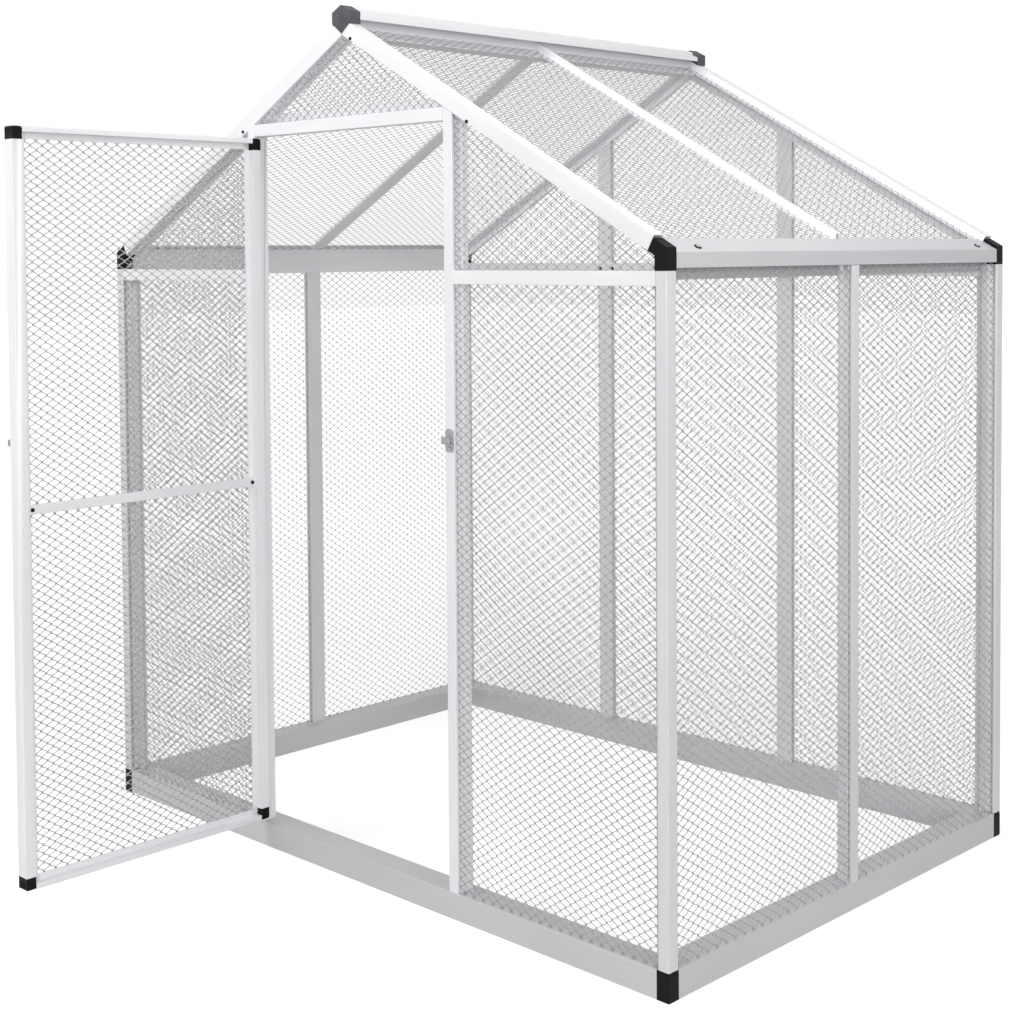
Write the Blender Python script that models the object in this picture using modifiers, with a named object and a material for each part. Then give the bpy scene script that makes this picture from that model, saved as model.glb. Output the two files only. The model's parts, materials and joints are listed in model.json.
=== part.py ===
"""A walk-in bird aviary: an aluminium frame with a gable roof, wire nets and a hinged door with a bolt.

Metres, +Z up, +X to the right along the front, +Y to the rear. The origin is on the underside of the
front base rail, in the middle of its outer foot lip. The door is modelled shut and then swung open
about its hinge, and it rests open at a right angle.
"""

import bpy
import bmesh
from math import asin, cos, degrees, radians, sin, tan
from mathutils import Matrix, Vector

# Overall size
WIDTH = 1.800
DEPTH = 1.235
POST_TOP = 1.345
ROOF_PITCH = radians(28.85)
DOOR_OPEN_ANGLE = radians(90)

# Clearance between pieces that touch, and the wall of every extrusion
SEAT = 0.0003
WALL = 0.002

# Base rails and their corner blocks
RAIL_HEIGHT = 0.0566
RAIL_WIDTH = 0.061
FOOT_LIP = 0.012
BLOCK_OVER = 0.003
BLOCK_STEP = 0.001
BLOCK_STEP_HEIGHT = 0.007

# Posts and bars: a hollow rib at the outer plane, a groove in its side that holds the net's edge, and
# flanges further in
RIB_WIDTH = 0.026
RIB_DEPTH = 0.028
FLANGE_DEPTH = 0.027
FLANGE_REACH = 0.024
BAR_FLANGE_WIDTH = 0.046
GROOVE_DEPTH = 0.004
SIDE_POST_RIB = 0.025
REAR_BAR_X = 0.306

# Door opening
JAMB_FACE_X = 0.3157
JAMB_WEB_DEPTH = 0.036
HEADER_DROP = 0.001
HEADER_HEIGHT = 0.028
HEADER_FLANGE = 0.022

# Tie bars at eave height
TIE_HEIGHT = 0.028
FRONT_TIE_DEPTH = 0.006
REAR_TIE_HEIGHT = 0.033
REAR_TIE_DEPTH = 0.012

# Roof: the rafters' top line passes this far above the post top at the wall's outer face
RAFTER_RISE = 0.0498
RAFTER_FACE = 0.033
RAFTER_FLANGE = 0.010
ROOF_FLANGE_REACH = 0.022
MIDDLE_RIB_WIDTH = 0.014
MIDDLE_RIB_BELOW = 0.003

# Eave beams and caps
EAVE_LIFT = 0.005
EAVE_FACE = 0.030
EAVE_REACH = 0.045
EAVE_FLANGE_DROP = 0.022
CAP_FACE = 0.043
CAP_TOP_REACH = 0.032
CAP_INNER_HEIGHT = 0.028

# Ridge beam and caps, heights over the point where the rafters' top lines meet
RIDGE_CROWN = 0.0243
RIDGE_CROWN_HALF = 0.010
RIDGE_CROWN_DROP = 0.003
RIDGE_GROOVE_HALF = 0.014
RIDGE_GROOVE = 0.0125
RIDGE_LIP_HALF = 0.028
RIDGE_LIP = 0.006
RIDGE_LIP_DROP = 0.0105
RIDGE_WING_HALF = 0.032
RIDGE_CAP_HALF = 0.029
RIDGE_CAP_TOP = 0.0273
RIDGE_CAP_SHOULDER = 0.0125
RIDGE_CAP_SIDE = 0.024
RIDGE_CAP_POINT = 0.0337
RIDGE_CAP_PROUD = 0.003

# Door and hinge
DOOR_BOTTOM = 0.072
DOOR_TOP_GAP = 0.0055
DOOR_HINGE_GAP = 0.0042
DOOR_FREE_GAP = 0.0055
DOOR_DEPTH = 0.032
STILE_BOX = 0.022
RAIL_BOX = 0.012
DOOR_FLANGE = 0.013
DOOR_FLANGE_DEPTH = 0.014
MIDDLE_RAIL_BOTTOM = 0.849
MIDDLE_RAIL_HEIGHT = 0.020
MIDDLE_RAIL_DEPTH = 0.012
HINGE_BEAD = 0.0015
HINGE_CLEARANCE = 0.0004
HINGE_WALL = 0.0012
HINGE_INSET = 0.0011
HINGE_WEB = 0.0012
HINGE_STRIP = 0.004
CHANNEL_FROM = 30
CHANNEL_TO = 237

# Bolt, its sleeve and its keeper
BOLT_HEIGHT = 0.997
BOLT_RADIUS = 0.004
BOLT_LENGTH = 0.030
BOLT_TRAVEL = 0.018
BOLT_BACK = 0.0017
BOLT_CLEARANCE = 0.0004
SLEEVE_LENGTH = 0.029
SLEEVE_BACK = 0.0012
SLEEVE_HEIGHT = 0.014
SLEEVE_WALL = 0.002
KNOB_RADIUS = 0.002
KNOB_LENGTH = 0.010
KNOB_FROM_TAIL = 0.007
KEEPER_WIDTH = 0.024
KEEPER_HEIGHT = 0.048
KEEPER_INSET = 0.0013
KEEPER_SHEET = 0.002
KEEPER_GAP = 0.0012

# Nets: a diamond net at a coarse pitch, each diamond standing for a block of the real ones
NET_PITCH_ACROSS = 0.0263
NET_PITCH_ALONG = 0.01845
NET_BLOCK = 12
NET_THICKNESS = 0.003
NET_DEPTH = 0.0085
NET_ENTRY = 0.001
NET_INSET = 0.004
NET_LEAST_SHARE = 0.3

# Levels and places that follow from the sizes above
HALF = WIDTH / 2
BLOCK = RIB_WIDTH + BLOCK_OVER
FRONT = -FOOT_LIP / 2
REAR = FRONT + DEPTH
MIDDLE = (FRONT + REAR) / 2
SEAT_TOP = RAIL_HEIGHT + SEAT
FLANGE_INNER = FLANGE_DEPTH + WALL
LAP = FLANGE_INNER + SEAT
NET_EDGE = NET_THICKNESS / 2 + SEAT
NET_IN_GROOVE = NET_THICKNESS / 2 - NET_ENTRY
CAP_TOP = CAP_FACE + CAP_TOP_REACH * tan(ROOF_PITCH)
FIN_BELOW = (RAFTER_RISE - EAVE_LIFT - EAVE_FACE) * cos(ROOF_PITCH) + WALL
ROOF_FLANGE_BELOW = FIN_BELOW + NET_THICKNESS + 2 * SEAT
PEAK = POST_TOP + RAFTER_RISE + HALF * tan(ROOF_PITCH)
EAVE_BOTTOM = POST_TOP + EAVE_LIFT
HEADER_TOP = PEAK - JAMB_FACE_X * tan(ROOF_PITCH) - RAFTER_FACE / cos(ROOF_PITCH) - HEADER_DROP
HEADER_BOTTOM = HEADER_TOP - HEADER_HEIGHT
DOOR_TOP = HEADER_BOTTOM - DOOR_TOP_GAP
DOOR_LEFT = -JAMB_FACE_X + DOOR_HINGE_GAP
DOOR_RIGHT = JAMB_FACE_X - DOOR_FREE_GAP
HINGE_INNER = HINGE_BEAD + HINGE_CLEARANCE
HINGE_OUTER = HINGE_INNER + HINGE_WALL
HINGE_BELOW = HINGE_INNER + SEAT
PIVOT = Vector((-JAMB_FACE_X - HINGE_INSET, FRONT - HINGE_BELOW, 0))

X, Y, Z = Vector((1, 0, 0)), Vector((0, 1, 0)), Vector((0, 0, 1))


class Slope:
    """One roof slope: side is +1 on the right and -1 on the left."""

    def __init__(self, side):
        self.side = side
        self.down = Vector((side * cos(ROOF_PITCH), 0, -sin(ROOF_PITCH)))
        self.below = Vector((-side * sin(ROOF_PITCH), 0, -cos(ROOF_PITCH)))
        self.top = Vector((0, 0, PEAK))

    def point(self, along, below=0.0, y=0.0):
        """A point so far down the slope and so far below the rafters' top line."""
        place = self.top + self.down * along + self.below * below
        return Vector((place.x, y, place.z))

    def under(self, below):
        """The plane that cuts off what rises above a line so far below the top line."""
        return self.point(0, below), -self.below


SLOPES = {"left": Slope(-1), "right": Slope(1)}


def slope_reach(x, below):
    """How far down the slope a line so far below the rafters' top line comes to a distance x."""
    return (x + below * sin(ROOF_PITCH)) / cos(ROOF_PITCH)


def rafter_end():
    """How far down the slope the gable rafters reach: to the inner end of the eave cap's top."""
    return (HALF - CAP_TOP_REACH) * cos(ROOF_PITCH) + (PEAK - POST_TOP - CAP_TOP) * sin(ROOF_PITCH)


def new_material(name, colour, roughness, metallic):
    """A plain material with the photographed colour and finish."""
    material = bpy.data.materials.new(name)
    material.use_nodes = True
    shader = material.node_tree.nodes["Principled BSDF"]
    shader.inputs["Base Color"].default_value = (*colour, 1)
    shader.inputs["Roughness"].default_value = roughness
    shader.inputs["Metallic"].default_value = metallic
    material.diffuse_color = (*colour, 1)
    return material


def clear_scene():
    """Remove every object that the scene starts with."""
    for old in list(bpy.data.objects):
        bpy.data.objects.remove(old)


def new_collection(name):
    """A collection linked to the scene."""
    collection = bpy.data.collections.new(name)
    bpy.context.scene.collection.children.link(collection)
    return collection


clear_scene()
AVIARY = new_collection("aviary")
CUTTERS = new_collection("cutters")

ALUMINIUM = new_material("aluminium", (0.78, 0.78, 0.79), 0.35, 0.9)
BRIGHT = new_material("bright_aluminium", (0.86, 0.86, 0.86), 0.4, 0.7)
BLACK = new_material("black_plastic", (0.012, 0.012, 0.014), 0.4, 0.0)
WIRE = new_material("galvanised_wire", (0.6, 0.6, 0.62), 0.4, 0.9)
ZINC = new_material("zinc_steel", (0.7, 0.7, 0.72), 0.3, 1.0)


def placement(origin, across, inward):
    """The matrix that lays a section's first axis across and its second inward at the origin."""
    along = across.cross(inward)
    turn = Matrix((across, inward, along)).transposed()
    return Matrix.Translation(origin) @ turn.to_4x4()


def outline_mesh(name, outlines, depth):
    """The mesh of a flat outline, with any holes, extruded to the depth on both sides of its plane."""
    curve = bpy.data.curves.new(name, "CURVE")
    curve.dimensions = "2D"
    curve.fill_mode = "BOTH"
    curve.extrude = depth / 2
    for outline in outlines:
        spline = curve.splines.new("POLY")
        spline.points.add(len(outline) - 1)
        for point, (a, b) in zip(spline.points, outline):
            point.co = (a, b, 0, 1)
        spline.use_cyclic_u = True
    drawn = bpy.data.objects.new(name + "_outline", curve)
    bpy.context.scene.collection.objects.link(drawn)
    bpy.context.view_layer.update()
    mesh = bpy.data.meshes.new_from_object(drawn.evaluated_get(bpy.context.evaluated_depsgraph_get()))
    bpy.data.objects.remove(drawn)
    bpy.data.curves.remove(curve)
    shape = bmesh.new()
    shape.from_mesh(mesh)
    bmesh.ops.remove_doubles(shape, verts=shape.verts, dist=0.00001)
    bmesh.ops.recalc_face_normals(shape, faces=shape.faces)
    shape.to_mesh(mesh)
    shape.free()
    mesh.name = name
    return mesh


def add_object(name, mesh, material, place=Matrix()):
    """Put a mesh into the aviary with its material and its place."""
    piece = bpy.data.objects.new(name, mesh)
    mesh.materials.clear()
    mesh.materials.append(material)
    AVIARY.objects.link(piece)
    piece.matrix_world = place
    return piece


def extrusion(name, outlines, material, origin, across, inward, along, start, stop):
    """A section drawn across and inward at the origin, run from start to stop along its length."""
    place = placement(origin, across, inward)
    if across.cross(inward).dot(along) < 0:
        start, stop = -stop, -start
    mesh = outline_mesh(name, outlines, stop - start)
    mesh.transform(Matrix.Translation((0, 0, (start + stop) / 2)))
    return add_object(name, mesh, material, place)


def trim(piece, point, outward):
    """Cut a bar by a plane given in the world, drop what lies outward of it and close the end."""
    to_local = piece.matrix_world.inverted()
    shape = bmesh.new()
    shape.from_mesh(piece.data)
    cut = bmesh.ops.bisect_plane(
        shape,
        geom=shape.verts[:] + shape.edges[:] + shape.faces[:],
        plane_co=to_local @ point,
        plane_no=to_local.to_3x3() @ outward,
        clear_outer=True,
    )
    rim = [item for item in cut["geom_cut"] if isinstance(item, bmesh.types.BMEdge)]
    bmesh.ops.triangle_fill(shape, edges=rim, use_beauty=True)
    bmesh.ops.recalc_face_normals(shape, faces=shape.faces)
    shape.to_mesh(piece.data)
    shape.free()


def box_mesh(name, low, high):
    """A box between two corners."""
    mesh = bpy.data.meshes.new(name)
    shape = bmesh.new()
    size = Vector(high) - Vector(low)
    middle = (Vector(high) + Vector(low)) / 2
    bmesh.ops.create_cube(shape, size=1, matrix=Matrix.Translation(middle) @ Matrix.Diagonal((*size, 1)))
    shape.to_mesh(mesh)
    shape.free()
    return mesh


def boolean(piece, helper_mesh, operation, place=Matrix()):
    """Cut a helper's shape from a piece, or join it on, with a live Boolean."""
    helper = bpy.data.objects.new(f"{piece.name}_{operation.lower()}", helper_mesh)
    CUTTERS.objects.link(helper)
    helper.matrix_world = place
    helper.hide_render = True
    helper.display_type = "WIRE"
    step = piece.modifiers.new(operation.title(), "BOOLEAN")
    step.operation = operation
    step.object = helper


def arc(centre, radius, first, last, steps):
    """Points on an arc, angles in degrees."""
    turns = [radians(first + (last - first) * step / steps) for step in range(steps + 1)]
    return [(centre[0] + radius * cos(turn), centre[1] + radius * sin(turn)) for turn in turns]


def tube_section(width, depth):
    """A hollow rectangle from the section's corner."""
    return [
        [(0, 0), (width, 0), (width, depth), (0, depth)],
        [(WALL, WALL), (width - WALL, WALL), (width - WALL, depth - WALL), (WALL, depth - WALL)],
    ]


def groove(edge):
    """The groove for the net's edge in a rib's side, from the outer plane inward."""
    return [
        (edge, NET_DEPTH - NET_EDGE), (edge - GROOVE_DEPTH, NET_DEPTH - NET_EDGE),
        (edge - GROOVE_DEPTH, NET_DEPTH + NET_EDGE), (edge, NET_DEPTH + NET_EDGE),
    ]


def bar_section(rib_width, flange_depth, flange_width, grooved):
    """A hollow rib at the outer plane on a flange, with a groove for the net in each side or none."""
    rib, inner, flange = rib_width / 2, flange_depth + WALL, flange_width / 2
    side = groove(rib) if grooved else []
    half = [(rib, 0)] + side + [(rib, flange_depth), (flange, flange_depth), (flange, inner)]
    hollow = rib - WALL - (GROOVE_DEPTH if grooved else 0)
    return [
        half + [(-a, b) for a, b in reversed(half)],
        [(-hollow, WALL), (hollow, WALL), (hollow, flange_depth), (-hollow, flange_depth)],
    ]


def post_section():
    """A hollow corner post with a groove and a flange along each wall."""
    end = RIB_WIDTH + FLANGE_REACH
    outer = [(0, 0), (RIB_WIDTH, 0)] + groove(RIB_WIDTH) + [
        (RIB_WIDTH, FLANGE_DEPTH), (end, FLANGE_DEPTH),
        (end, FLANGE_INNER), (FLANGE_INNER, FLANGE_INNER), (FLANGE_INNER, end),
        (FLANGE_DEPTH, end), (FLANGE_DEPTH, RIB_DEPTH),
    ] + [(b, a) for a, b in reversed(groove(RIB_DEPTH))] + [(0, RIB_DEPTH)]
    far = RIB_WIDTH - WALL - GROOVE_DEPTH, RIB_DEPTH - WALL - GROOVE_DEPTH
    return [outer, [(WALL, WALL), (far[0], WALL), far, (WALL, far[1])]]


def jamb_section(with_hinge):
    """A hollow jamb: the door side first, a groove and flange on the other, and the hinge channel."""
    flange_end = BAR_FLANGE_WIDTH - 2 * WALL
    channel = []
    if with_hinge:
        centre = (HINGE_INSET, -HINGE_BELOW)
        face = degrees(asin(HINGE_BELOW / HINGE_OUTER))
        lip, root = 180 - CHANNEL_TO, 180 - CHANNEL_FROM
        channel = arc(centre, HINGE_OUTER, face, lip, 7)
        channel += arc(centre, HINGE_INNER, lip, root, 12)
        channel += arc(centre, HINGE_OUTER, root, root, 1)[:1]
    outer = [
        (0, -SEAT if with_hinge else 0), (0, JAMB_WEB_DEPTH), (WALL, JAMB_WEB_DEPTH), (WALL, FLANGE_INNER),
        (flange_end, FLANGE_INNER), (flange_end, FLANGE_DEPTH), (RIB_WIDTH, FLANGE_DEPTH),
    ] + groove(RIB_WIDTH)[::-1] + [(RIB_WIDTH, 0)] + channel
    return [outer, tube_section(RIB_WIDTH - GROOVE_DEPTH, RIB_DEPTH)[1]]


def rafter_section():
    """A gable rafter: a hollow face, a flange for the gable net and one for the roof net."""
    roof_end = RIB_DEPTH + ROOF_FLANGE_REACH
    roof_low = ROOF_FLANGE_BELOW + WALL
    net_end = RAFTER_FACE + RAFTER_FLANGE
    outer = [
        (0, 0), (RAFTER_FACE, 0), (RAFTER_FACE, LAP), (net_end, LAP), (net_end, LAP + WALL),
        (RAFTER_FACE - WALL, LAP + WALL), (RAFTER_FACE - WALL, RIB_DEPTH), (roof_low, RIB_DEPTH),
        (roof_low, roof_end), (ROOF_FLANGE_BELOW, roof_end), (ROOF_FLANGE_BELOW, RIB_DEPTH), (0, RIB_DEPTH),
    ]
    return [outer, tube_section(RAFTER_FACE, RIB_DEPTH)[1]]


def rail_section():
    """A folded base rail: an inverted channel with foot lips, depth first and height second."""
    inner, top, lip = RAIL_WIDTH - WALL, RAIL_HEIGHT - WALL, RAIL_WIDTH - FOOT_LIP
    return [[
        (0, 0), (FOOT_LIP, 0), (FOOT_LIP, WALL), (WALL, WALL), (WALL, top), (inner, top),
        (inner, WALL), (lip, WALL), (lip, 0), (RAIL_WIDTH, 0), (RAIL_WIDTH, RAIL_HEIGHT), (0, RAIL_HEIGHT),
    ]]


def eave_section():
    """An eave beam: an upright face, a sloped top with a fin over the roof net, and a lap flange."""
    rise = tan(ROOF_PITCH)
    skin = WALL / cos(ROOF_PITCH)

    def top(depth):
        return EAVE_FACE + depth * rise

    inner = LAP + WALL
    outer = [
        (0, 0), (0, top(0)), (EAVE_REACH, top(EAVE_REACH)), (EAVE_REACH, top(EAVE_REACH) - skin),
        (inner, top(inner) - skin), (inner, -EAVE_FLANGE_DROP), (LAP, -EAVE_FLANGE_DROP), (LAP, 0),
    ]
    hollow = [(WALL, WALL), (LAP, WALL), (LAP, top(LAP) - skin), (WALL, top(WALL) - skin)]
    return [outer, hollow]


def ridge_section():
    """A ridge beam: a grooved crown, drip lips, a web, and wings under the roof nets."""
    rise, skin = tan(ROOF_PITCH), WALL / cos(ROOF_PITCH)
    wing = (ROOF_FLANGE_BELOW + WALL + SEAT) / cos(ROOF_PITCH)
    crown_foot = RIDGE_CROWN - RIDGE_CROWN_DROP
    half = [
        (0, RIDGE_CROWN),
        (RIDGE_CROWN_HALF, crown_foot),
        (RIDGE_GROOVE_HALF, RIDGE_GROOVE),
        (RIDGE_LIP_HALF, RIDGE_LIP),
        (RIDGE_LIP_HALF, RIDGE_LIP - RIDGE_LIP_DROP),
        (RIDGE_LIP_HALF - WALL, RIDGE_LIP - RIDGE_LIP_DROP),
        (RIDGE_LIP_HALF - WALL, RIDGE_LIP - skin + WALL * rise),
        (RIDGE_GROOVE_HALF - WALL, RIDGE_GROOVE - skin),
        (RIDGE_CROWN_HALF - WALL, crown_foot - skin),
        (WALL / 2, RIDGE_CROWN - skin),
        (WALL / 2, -wing - WALL / 2 * rise),
        (RIDGE_WING_HALF, -wing - RIDGE_WING_HALF * rise),
        (RIDGE_WING_HALF, -wing - RIDGE_WING_HALF * rise - skin),
        (0, -wing - skin),
    ]
    return [half + [(-a, b) for a, b in reversed(half[1:-1])]]


def stile_section(with_hinge):
    """A door stile from its outer edge: a hollow box, a net flange, and the hinge bead on one."""
    flange_end, flange_back = STILE_BOX + DOOR_FLANGE, DOOR_FLANGE_DEPTH + WALL
    outer = [
        (0, DOOR_DEPTH), (STILE_BOX, DOOR_DEPTH), (STILE_BOX, flange_back), (flange_end, flange_back),
        (flange_end, DOOR_FLANGE_DEPTH), (STILE_BOX, DOOR_FLANGE_DEPTH), (STILE_BOX, 0),
    ]
    if with_hinge:
        bead = (-DOOR_HINGE_GAP - HINGE_INSET, -HINGE_BELOW)
        web = HINGE_WEB / 2
        spread = degrees(asin(web / HINGE_BEAD))
        outer += [(HINGE_STRIP, 0), (HINGE_STRIP, bead[1] - web)]
        outer += arc(bead, HINGE_BEAD, -spread, -360 + spread, 12)
        outer += [(0, bead[1] + web)]
    else:
        outer += [(0, 0)]
    return [outer, tube_section(STILE_BOX, DOOR_DEPTH)[1]]


def door_rail_section():
    """A top or bottom rail of the door from its outer edge: a hollow box and a net flange."""
    flange_end, flange_back = RAIL_BOX + DOOR_FLANGE, DOOR_FLANGE_DEPTH + WALL
    outer = [
        (0, 0), (RAIL_BOX, 0), (RAIL_BOX, DOOR_FLANGE_DEPTH), (flange_end, DOOR_FLANGE_DEPTH),
        (flange_end, flange_back), (RAIL_BOX, flange_back), (RAIL_BOX, DOOR_DEPTH), (0, DOOR_DEPTH),
    ]
    return [outer, tube_section(RAIL_BOX, DOOR_DEPTH)[1]]


CORNERS = {
    "front_left": (Vector((-HALF, FRONT, 0)), X, Y),
    "front_right": (Vector((HALF, FRONT, 0)), -X, Y),
    "rear_left": (Vector((-HALF, REAR, 0)), X, -Y),
    "rear_right": (Vector((HALF, REAR, 0)), -X, -Y),
}
WALLS = {
    "front": (Vector((0, FRONT, 0)), X, Y, HALF),
    "rear": (Vector((0, REAR, 0)), X, -Y, HALF),
    "left": (Vector((-HALF, MIDDLE, 0)), Y, X, DEPTH / 2),
    "right": (Vector((HALF, MIDDLE, 0)), Y, -X, DEPTH / 2),
}


def make_base():
    """Four mitred rails and the black corner blocks that their outer faces end on."""
    for name, (foot, along, inward, reach) in WALLS.items():
        rail = extrusion(
            f"base_rail_{name}", rail_section(), ALUMINIUM, foot, inward, Z, along, -reach, reach
        )
        for side in (-1, 1):
            corner = foot + along * side * (reach - SEAT)
            trim(rail, corner, (along * side + inward).normalized())
            pocket = [foot + along * side * (reach - BLOCK - SEAT), foot + along * side * (reach + BLOCK)]
            pocket[0] = pocket[0] + inward * (BLOCK + SEAT) - Z * BLOCK
            pocket[1] = pocket[1] - inward * BLOCK + Z * (RAIL_HEIGHT + BLOCK)
            low = [min(pair) for pair in zip(*pocket)]
            high = [max(pair) for pair in zip(*pocket)]
            boolean(rail, box_mesh("pocket", low, high), "DIFFERENCE")
    for name, (corner, across, inward) in CORNERS.items():
        low = RAIL_HEIGHT - BLOCK_STEP_HEIGHT
        profile = [
            (0, 0), (BLOCK, 0), (BLOCK, RAIL_HEIGHT), (BLOCK_STEP, RAIL_HEIGHT), (BLOCK_STEP, low), (0, low),
        ]
        extrusion(f"base_cap_{name}", [profile], BLACK, corner, across, Z, inward, 0, BLOCK)


def make_posts():
    """Corner posts, middle posts of the sides and bars of the rear."""
    for name, (corner, across, inward) in CORNERS.items():
        extrusion(
            f"corner_post_{name}", post_section(), ALUMINIUM, corner, across, inward, Z, SEAT_TOP, POST_TOP
        )
    side_bar = bar_section(SIDE_POST_RIB, FLANGE_DEPTH, BAR_FLANGE_WIDTH, grooved=True)
    for name in ("left", "right"):
        foot, along, inward, _ = WALLS[name]
        extrusion(
            f"side_post_{name}", side_bar, ALUMINIUM, foot, along, inward, Z, SEAT_TOP, EAVE_BOTTOM - SEAT
        )
    rear_bar = bar_section(RIB_WIDTH, FLANGE_DEPTH, BAR_FLANGE_WIDTH, grooved=True)
    for name, slope in SLOPES.items():
        foot = Vector((slope.side * REAR_BAR_X, REAR, 0))
        bar = extrusion(f"rear_bar_{name}", rear_bar, ALUMINIUM, foot, X, -Y, Z, SEAT_TOP, PEAK)
        trim(bar, *slope.under(RAFTER_FACE + SEAT))


def cut_under_roof(piece, slope, below, depth):
    """Cut from a front piece what lies between two depths under the roof line and two behind the front."""
    place = placement(Vector((0, FRONT, PEAK)), slope.down, slope.below)
    near, far = sorted(slope.side * place_depth for place_depth in depth)
    boolean(piece, box_mesh("cut", (0, below[0], near), (HALF, below[1], far)), "DIFFERENCE", place)


def make_door_frame():
    """Jambs, header and the tie bars at eave height."""
    for name, slope in SLOPES.items():
        foot = Vector((slope.side * JAMB_FACE_X, FRONT, 0))
        section = jamb_section(with_hinge=name == "left")
        jamb = extrusion(f"door_jamb_{name}", section, BRIGHT, foot, X * slope.side, Y, Z, SEAT_TOP, PEAK)
        trim(jamb, *slope.under(RAFTER_FACE + SEAT))
        lap_low, lap_high = RAFTER_FACE - 2 * WALL, RAFTER_FACE + RAFTER_FLANGE + SEAT
        cut_under_roof(jamb, slope, (lap_low, lap_high), (LAP - SEAT, JAMB_WEB_DEPTH + WALL))
        tie_start, tie_stop = JAMB_FACE_X + RIB_WIDTH + SEAT, HALF - RIB_WIDTH - SEAT
        corner = Vector((0, FRONT, POST_TOP - TIE_HEIGHT))
        flat = [(0, 0), (TIE_HEIGHT, 0), (TIE_HEIGHT, FRONT_TIE_DEPTH), (0, FRONT_TIE_DEPTH)]
        extrusion(
            f"front_tie_{name}", [flat], BRIGHT, corner, Z, Y, X * slope.side, tie_start, tie_stop
        )
    top = HEADER_HEIGHT + HEADER_FLANGE
    section = [
        [
            (0, 0), (HEADER_HEIGHT, 0), (HEADER_HEIGHT, FLANGE_DEPTH), (top, FLANGE_DEPTH),
            (top, FLANGE_INNER), (0, FLANGE_INNER),
        ],
        tube_section(HEADER_HEIGHT, RIB_DEPTH)[1],
    ]
    reach = JAMB_FACE_X - SEAT
    header = extrusion(
        "header", section, BRIGHT, Vector((0, FRONT, HEADER_BOTTOM)), Z, Y, X, -reach, reach
    )
    for slope in SLOPES.values():
        cut_under_roof(header, slope, (-RAFTER_FACE, RAFTER_FACE + SEAT), (FLANGE_DEPTH - WALL, LAP))
    reach = HALF - LAP - WALL - SEAT
    corner = Vector((0, REAR - LAP, POST_TOP - TIE_HEIGHT))
    extrusion(
        "rear_tie", tube_section(REAR_TIE_HEIGHT, REAR_TIE_DEPTH), BRIGHT, corner, Z, -Y, X, -reach, reach
    )


def make_eaves():
    """Eave beams and their black corner caps."""
    for name, slope in SLOPES.items():
        corner = Vector((slope.side * HALF, MIDDLE, EAVE_BOTTOM))
        reach = DEPTH / 2 - BLOCK - SEAT
        extrusion(
            f"eave_beam_{name}", eave_section(), ALUMINIUM, corner, -X * slope.side, Z, Y, -reach, reach
        )
        arm = slope.point(rafter_end(), RAFTER_FACE)
        profile = [
            (BLOCK, SEAT), (0, SEAT), (0, CAP_FACE), (CAP_TOP_REACH, CAP_TOP),
            (HALF - abs(arm.x), arm.z - POST_TOP), (BLOCK, CAP_INNER_HEIGHT),
        ]
        for end, y, inward in (("front", FRONT, Y), ("rear", REAR, -Y)):
            corner = Vector((slope.side * HALF, y, POST_TOP))
            extrusion(
                f"eave_cap_{end}_{name}", [profile], BLACK, corner, -X * slope.side, Z, inward, 0, BLOCK
            )


def make_roof():
    """Rafters, ridge beam and ridge caps."""
    web = WALL / 2 + SEAT
    for name, slope in SLOPES.items():
        outward = -X * slope.side
        for end, y, inward in (("front", FRONT, Y), ("rear", REAR, -Y)):
            rafter = extrusion(
                f"gable_rafter_{end}_{name}", rafter_section(), BRIGHT, Vector((0, y, PEAK)),
                slope.below, inward, slope.down, -RAFTER_FACE, rafter_end() - SEAT,
            )
            trim(rafter, X * slope.side * web, outward)
        depth = ROOF_FLANGE_BELOW - MIDDLE_RIB_BELOW
        section = bar_section(MIDDLE_RIB_WIDTH, depth, BAR_FLANGE_WIDTH, grooved=False)
        rafter = extrusion(
            f"middle_rafter_{name}", section, BRIGHT, slope.point(0, MIDDLE_RIB_BELOW, MIDDLE),
            Y, slope.below, slope.down, -RAFTER_FACE, HALF / cos(ROOF_PITCH),
        )
        trim(rafter, X * slope.side * web, outward)
        trim(rafter, X * slope.side * (HALF - EAVE_REACH - SEAT), -outward)
    reach = DEPTH / 2 - BLOCK - SEAT
    peak = Vector((0, MIDDLE, PEAK))
    extrusion("ridge_beam", ridge_section(), BRIGHT, peak, X, Z, Y, -reach, reach)
    rise = tan(ROOF_PITCH)
    side_low = -RIDGE_CAP_HALF * rise
    over = SEAT / cos(ROOF_PITCH)
    hood = [
        (0, RIDGE_CAP_TOP), (RIDGE_CAP_HALF, RIDGE_CAP_SHOULDER), (RIDGE_CAP_HALF, side_low + over),
        (0, over), (-RIDGE_CAP_HALF, side_low + over), (-RIDGE_CAP_HALF, RIDGE_CAP_SHOULDER),
    ]
    shield = [
        (0, RIDGE_CAP_TOP), (RIDGE_CAP_HALF, RIDGE_CAP_SHOULDER),
        (RIDGE_CAP_HALF, RIDGE_CAP_SHOULDER - RIDGE_CAP_SIDE), (0, -RIDGE_CAP_POINT),
        (-RIDGE_CAP_HALF, RIDGE_CAP_SHOULDER - RIDGE_CAP_SIDE), (-RIDGE_CAP_HALF, RIDGE_CAP_SHOULDER),
    ]
    for end, y, inward in (("front", FRONT, Y), ("rear", REAR, -Y)):
        peak = Vector((0, y, PEAK))
        cap = extrusion(
            f"ridge_cap_{end}", [shield], BLACK, peak, X, Z, inward, -RIDGE_CAP_PROUD, -SEAT
        )
        depth = BLOCK + RIDGE_CAP_PROUD / 2
        block = outline_mesh("hood", [hood], depth)
        centre = peak + inward * (BLOCK - depth / 2)
        boolean(cap, block, "UNION", placement(centre, X, Z))


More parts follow.
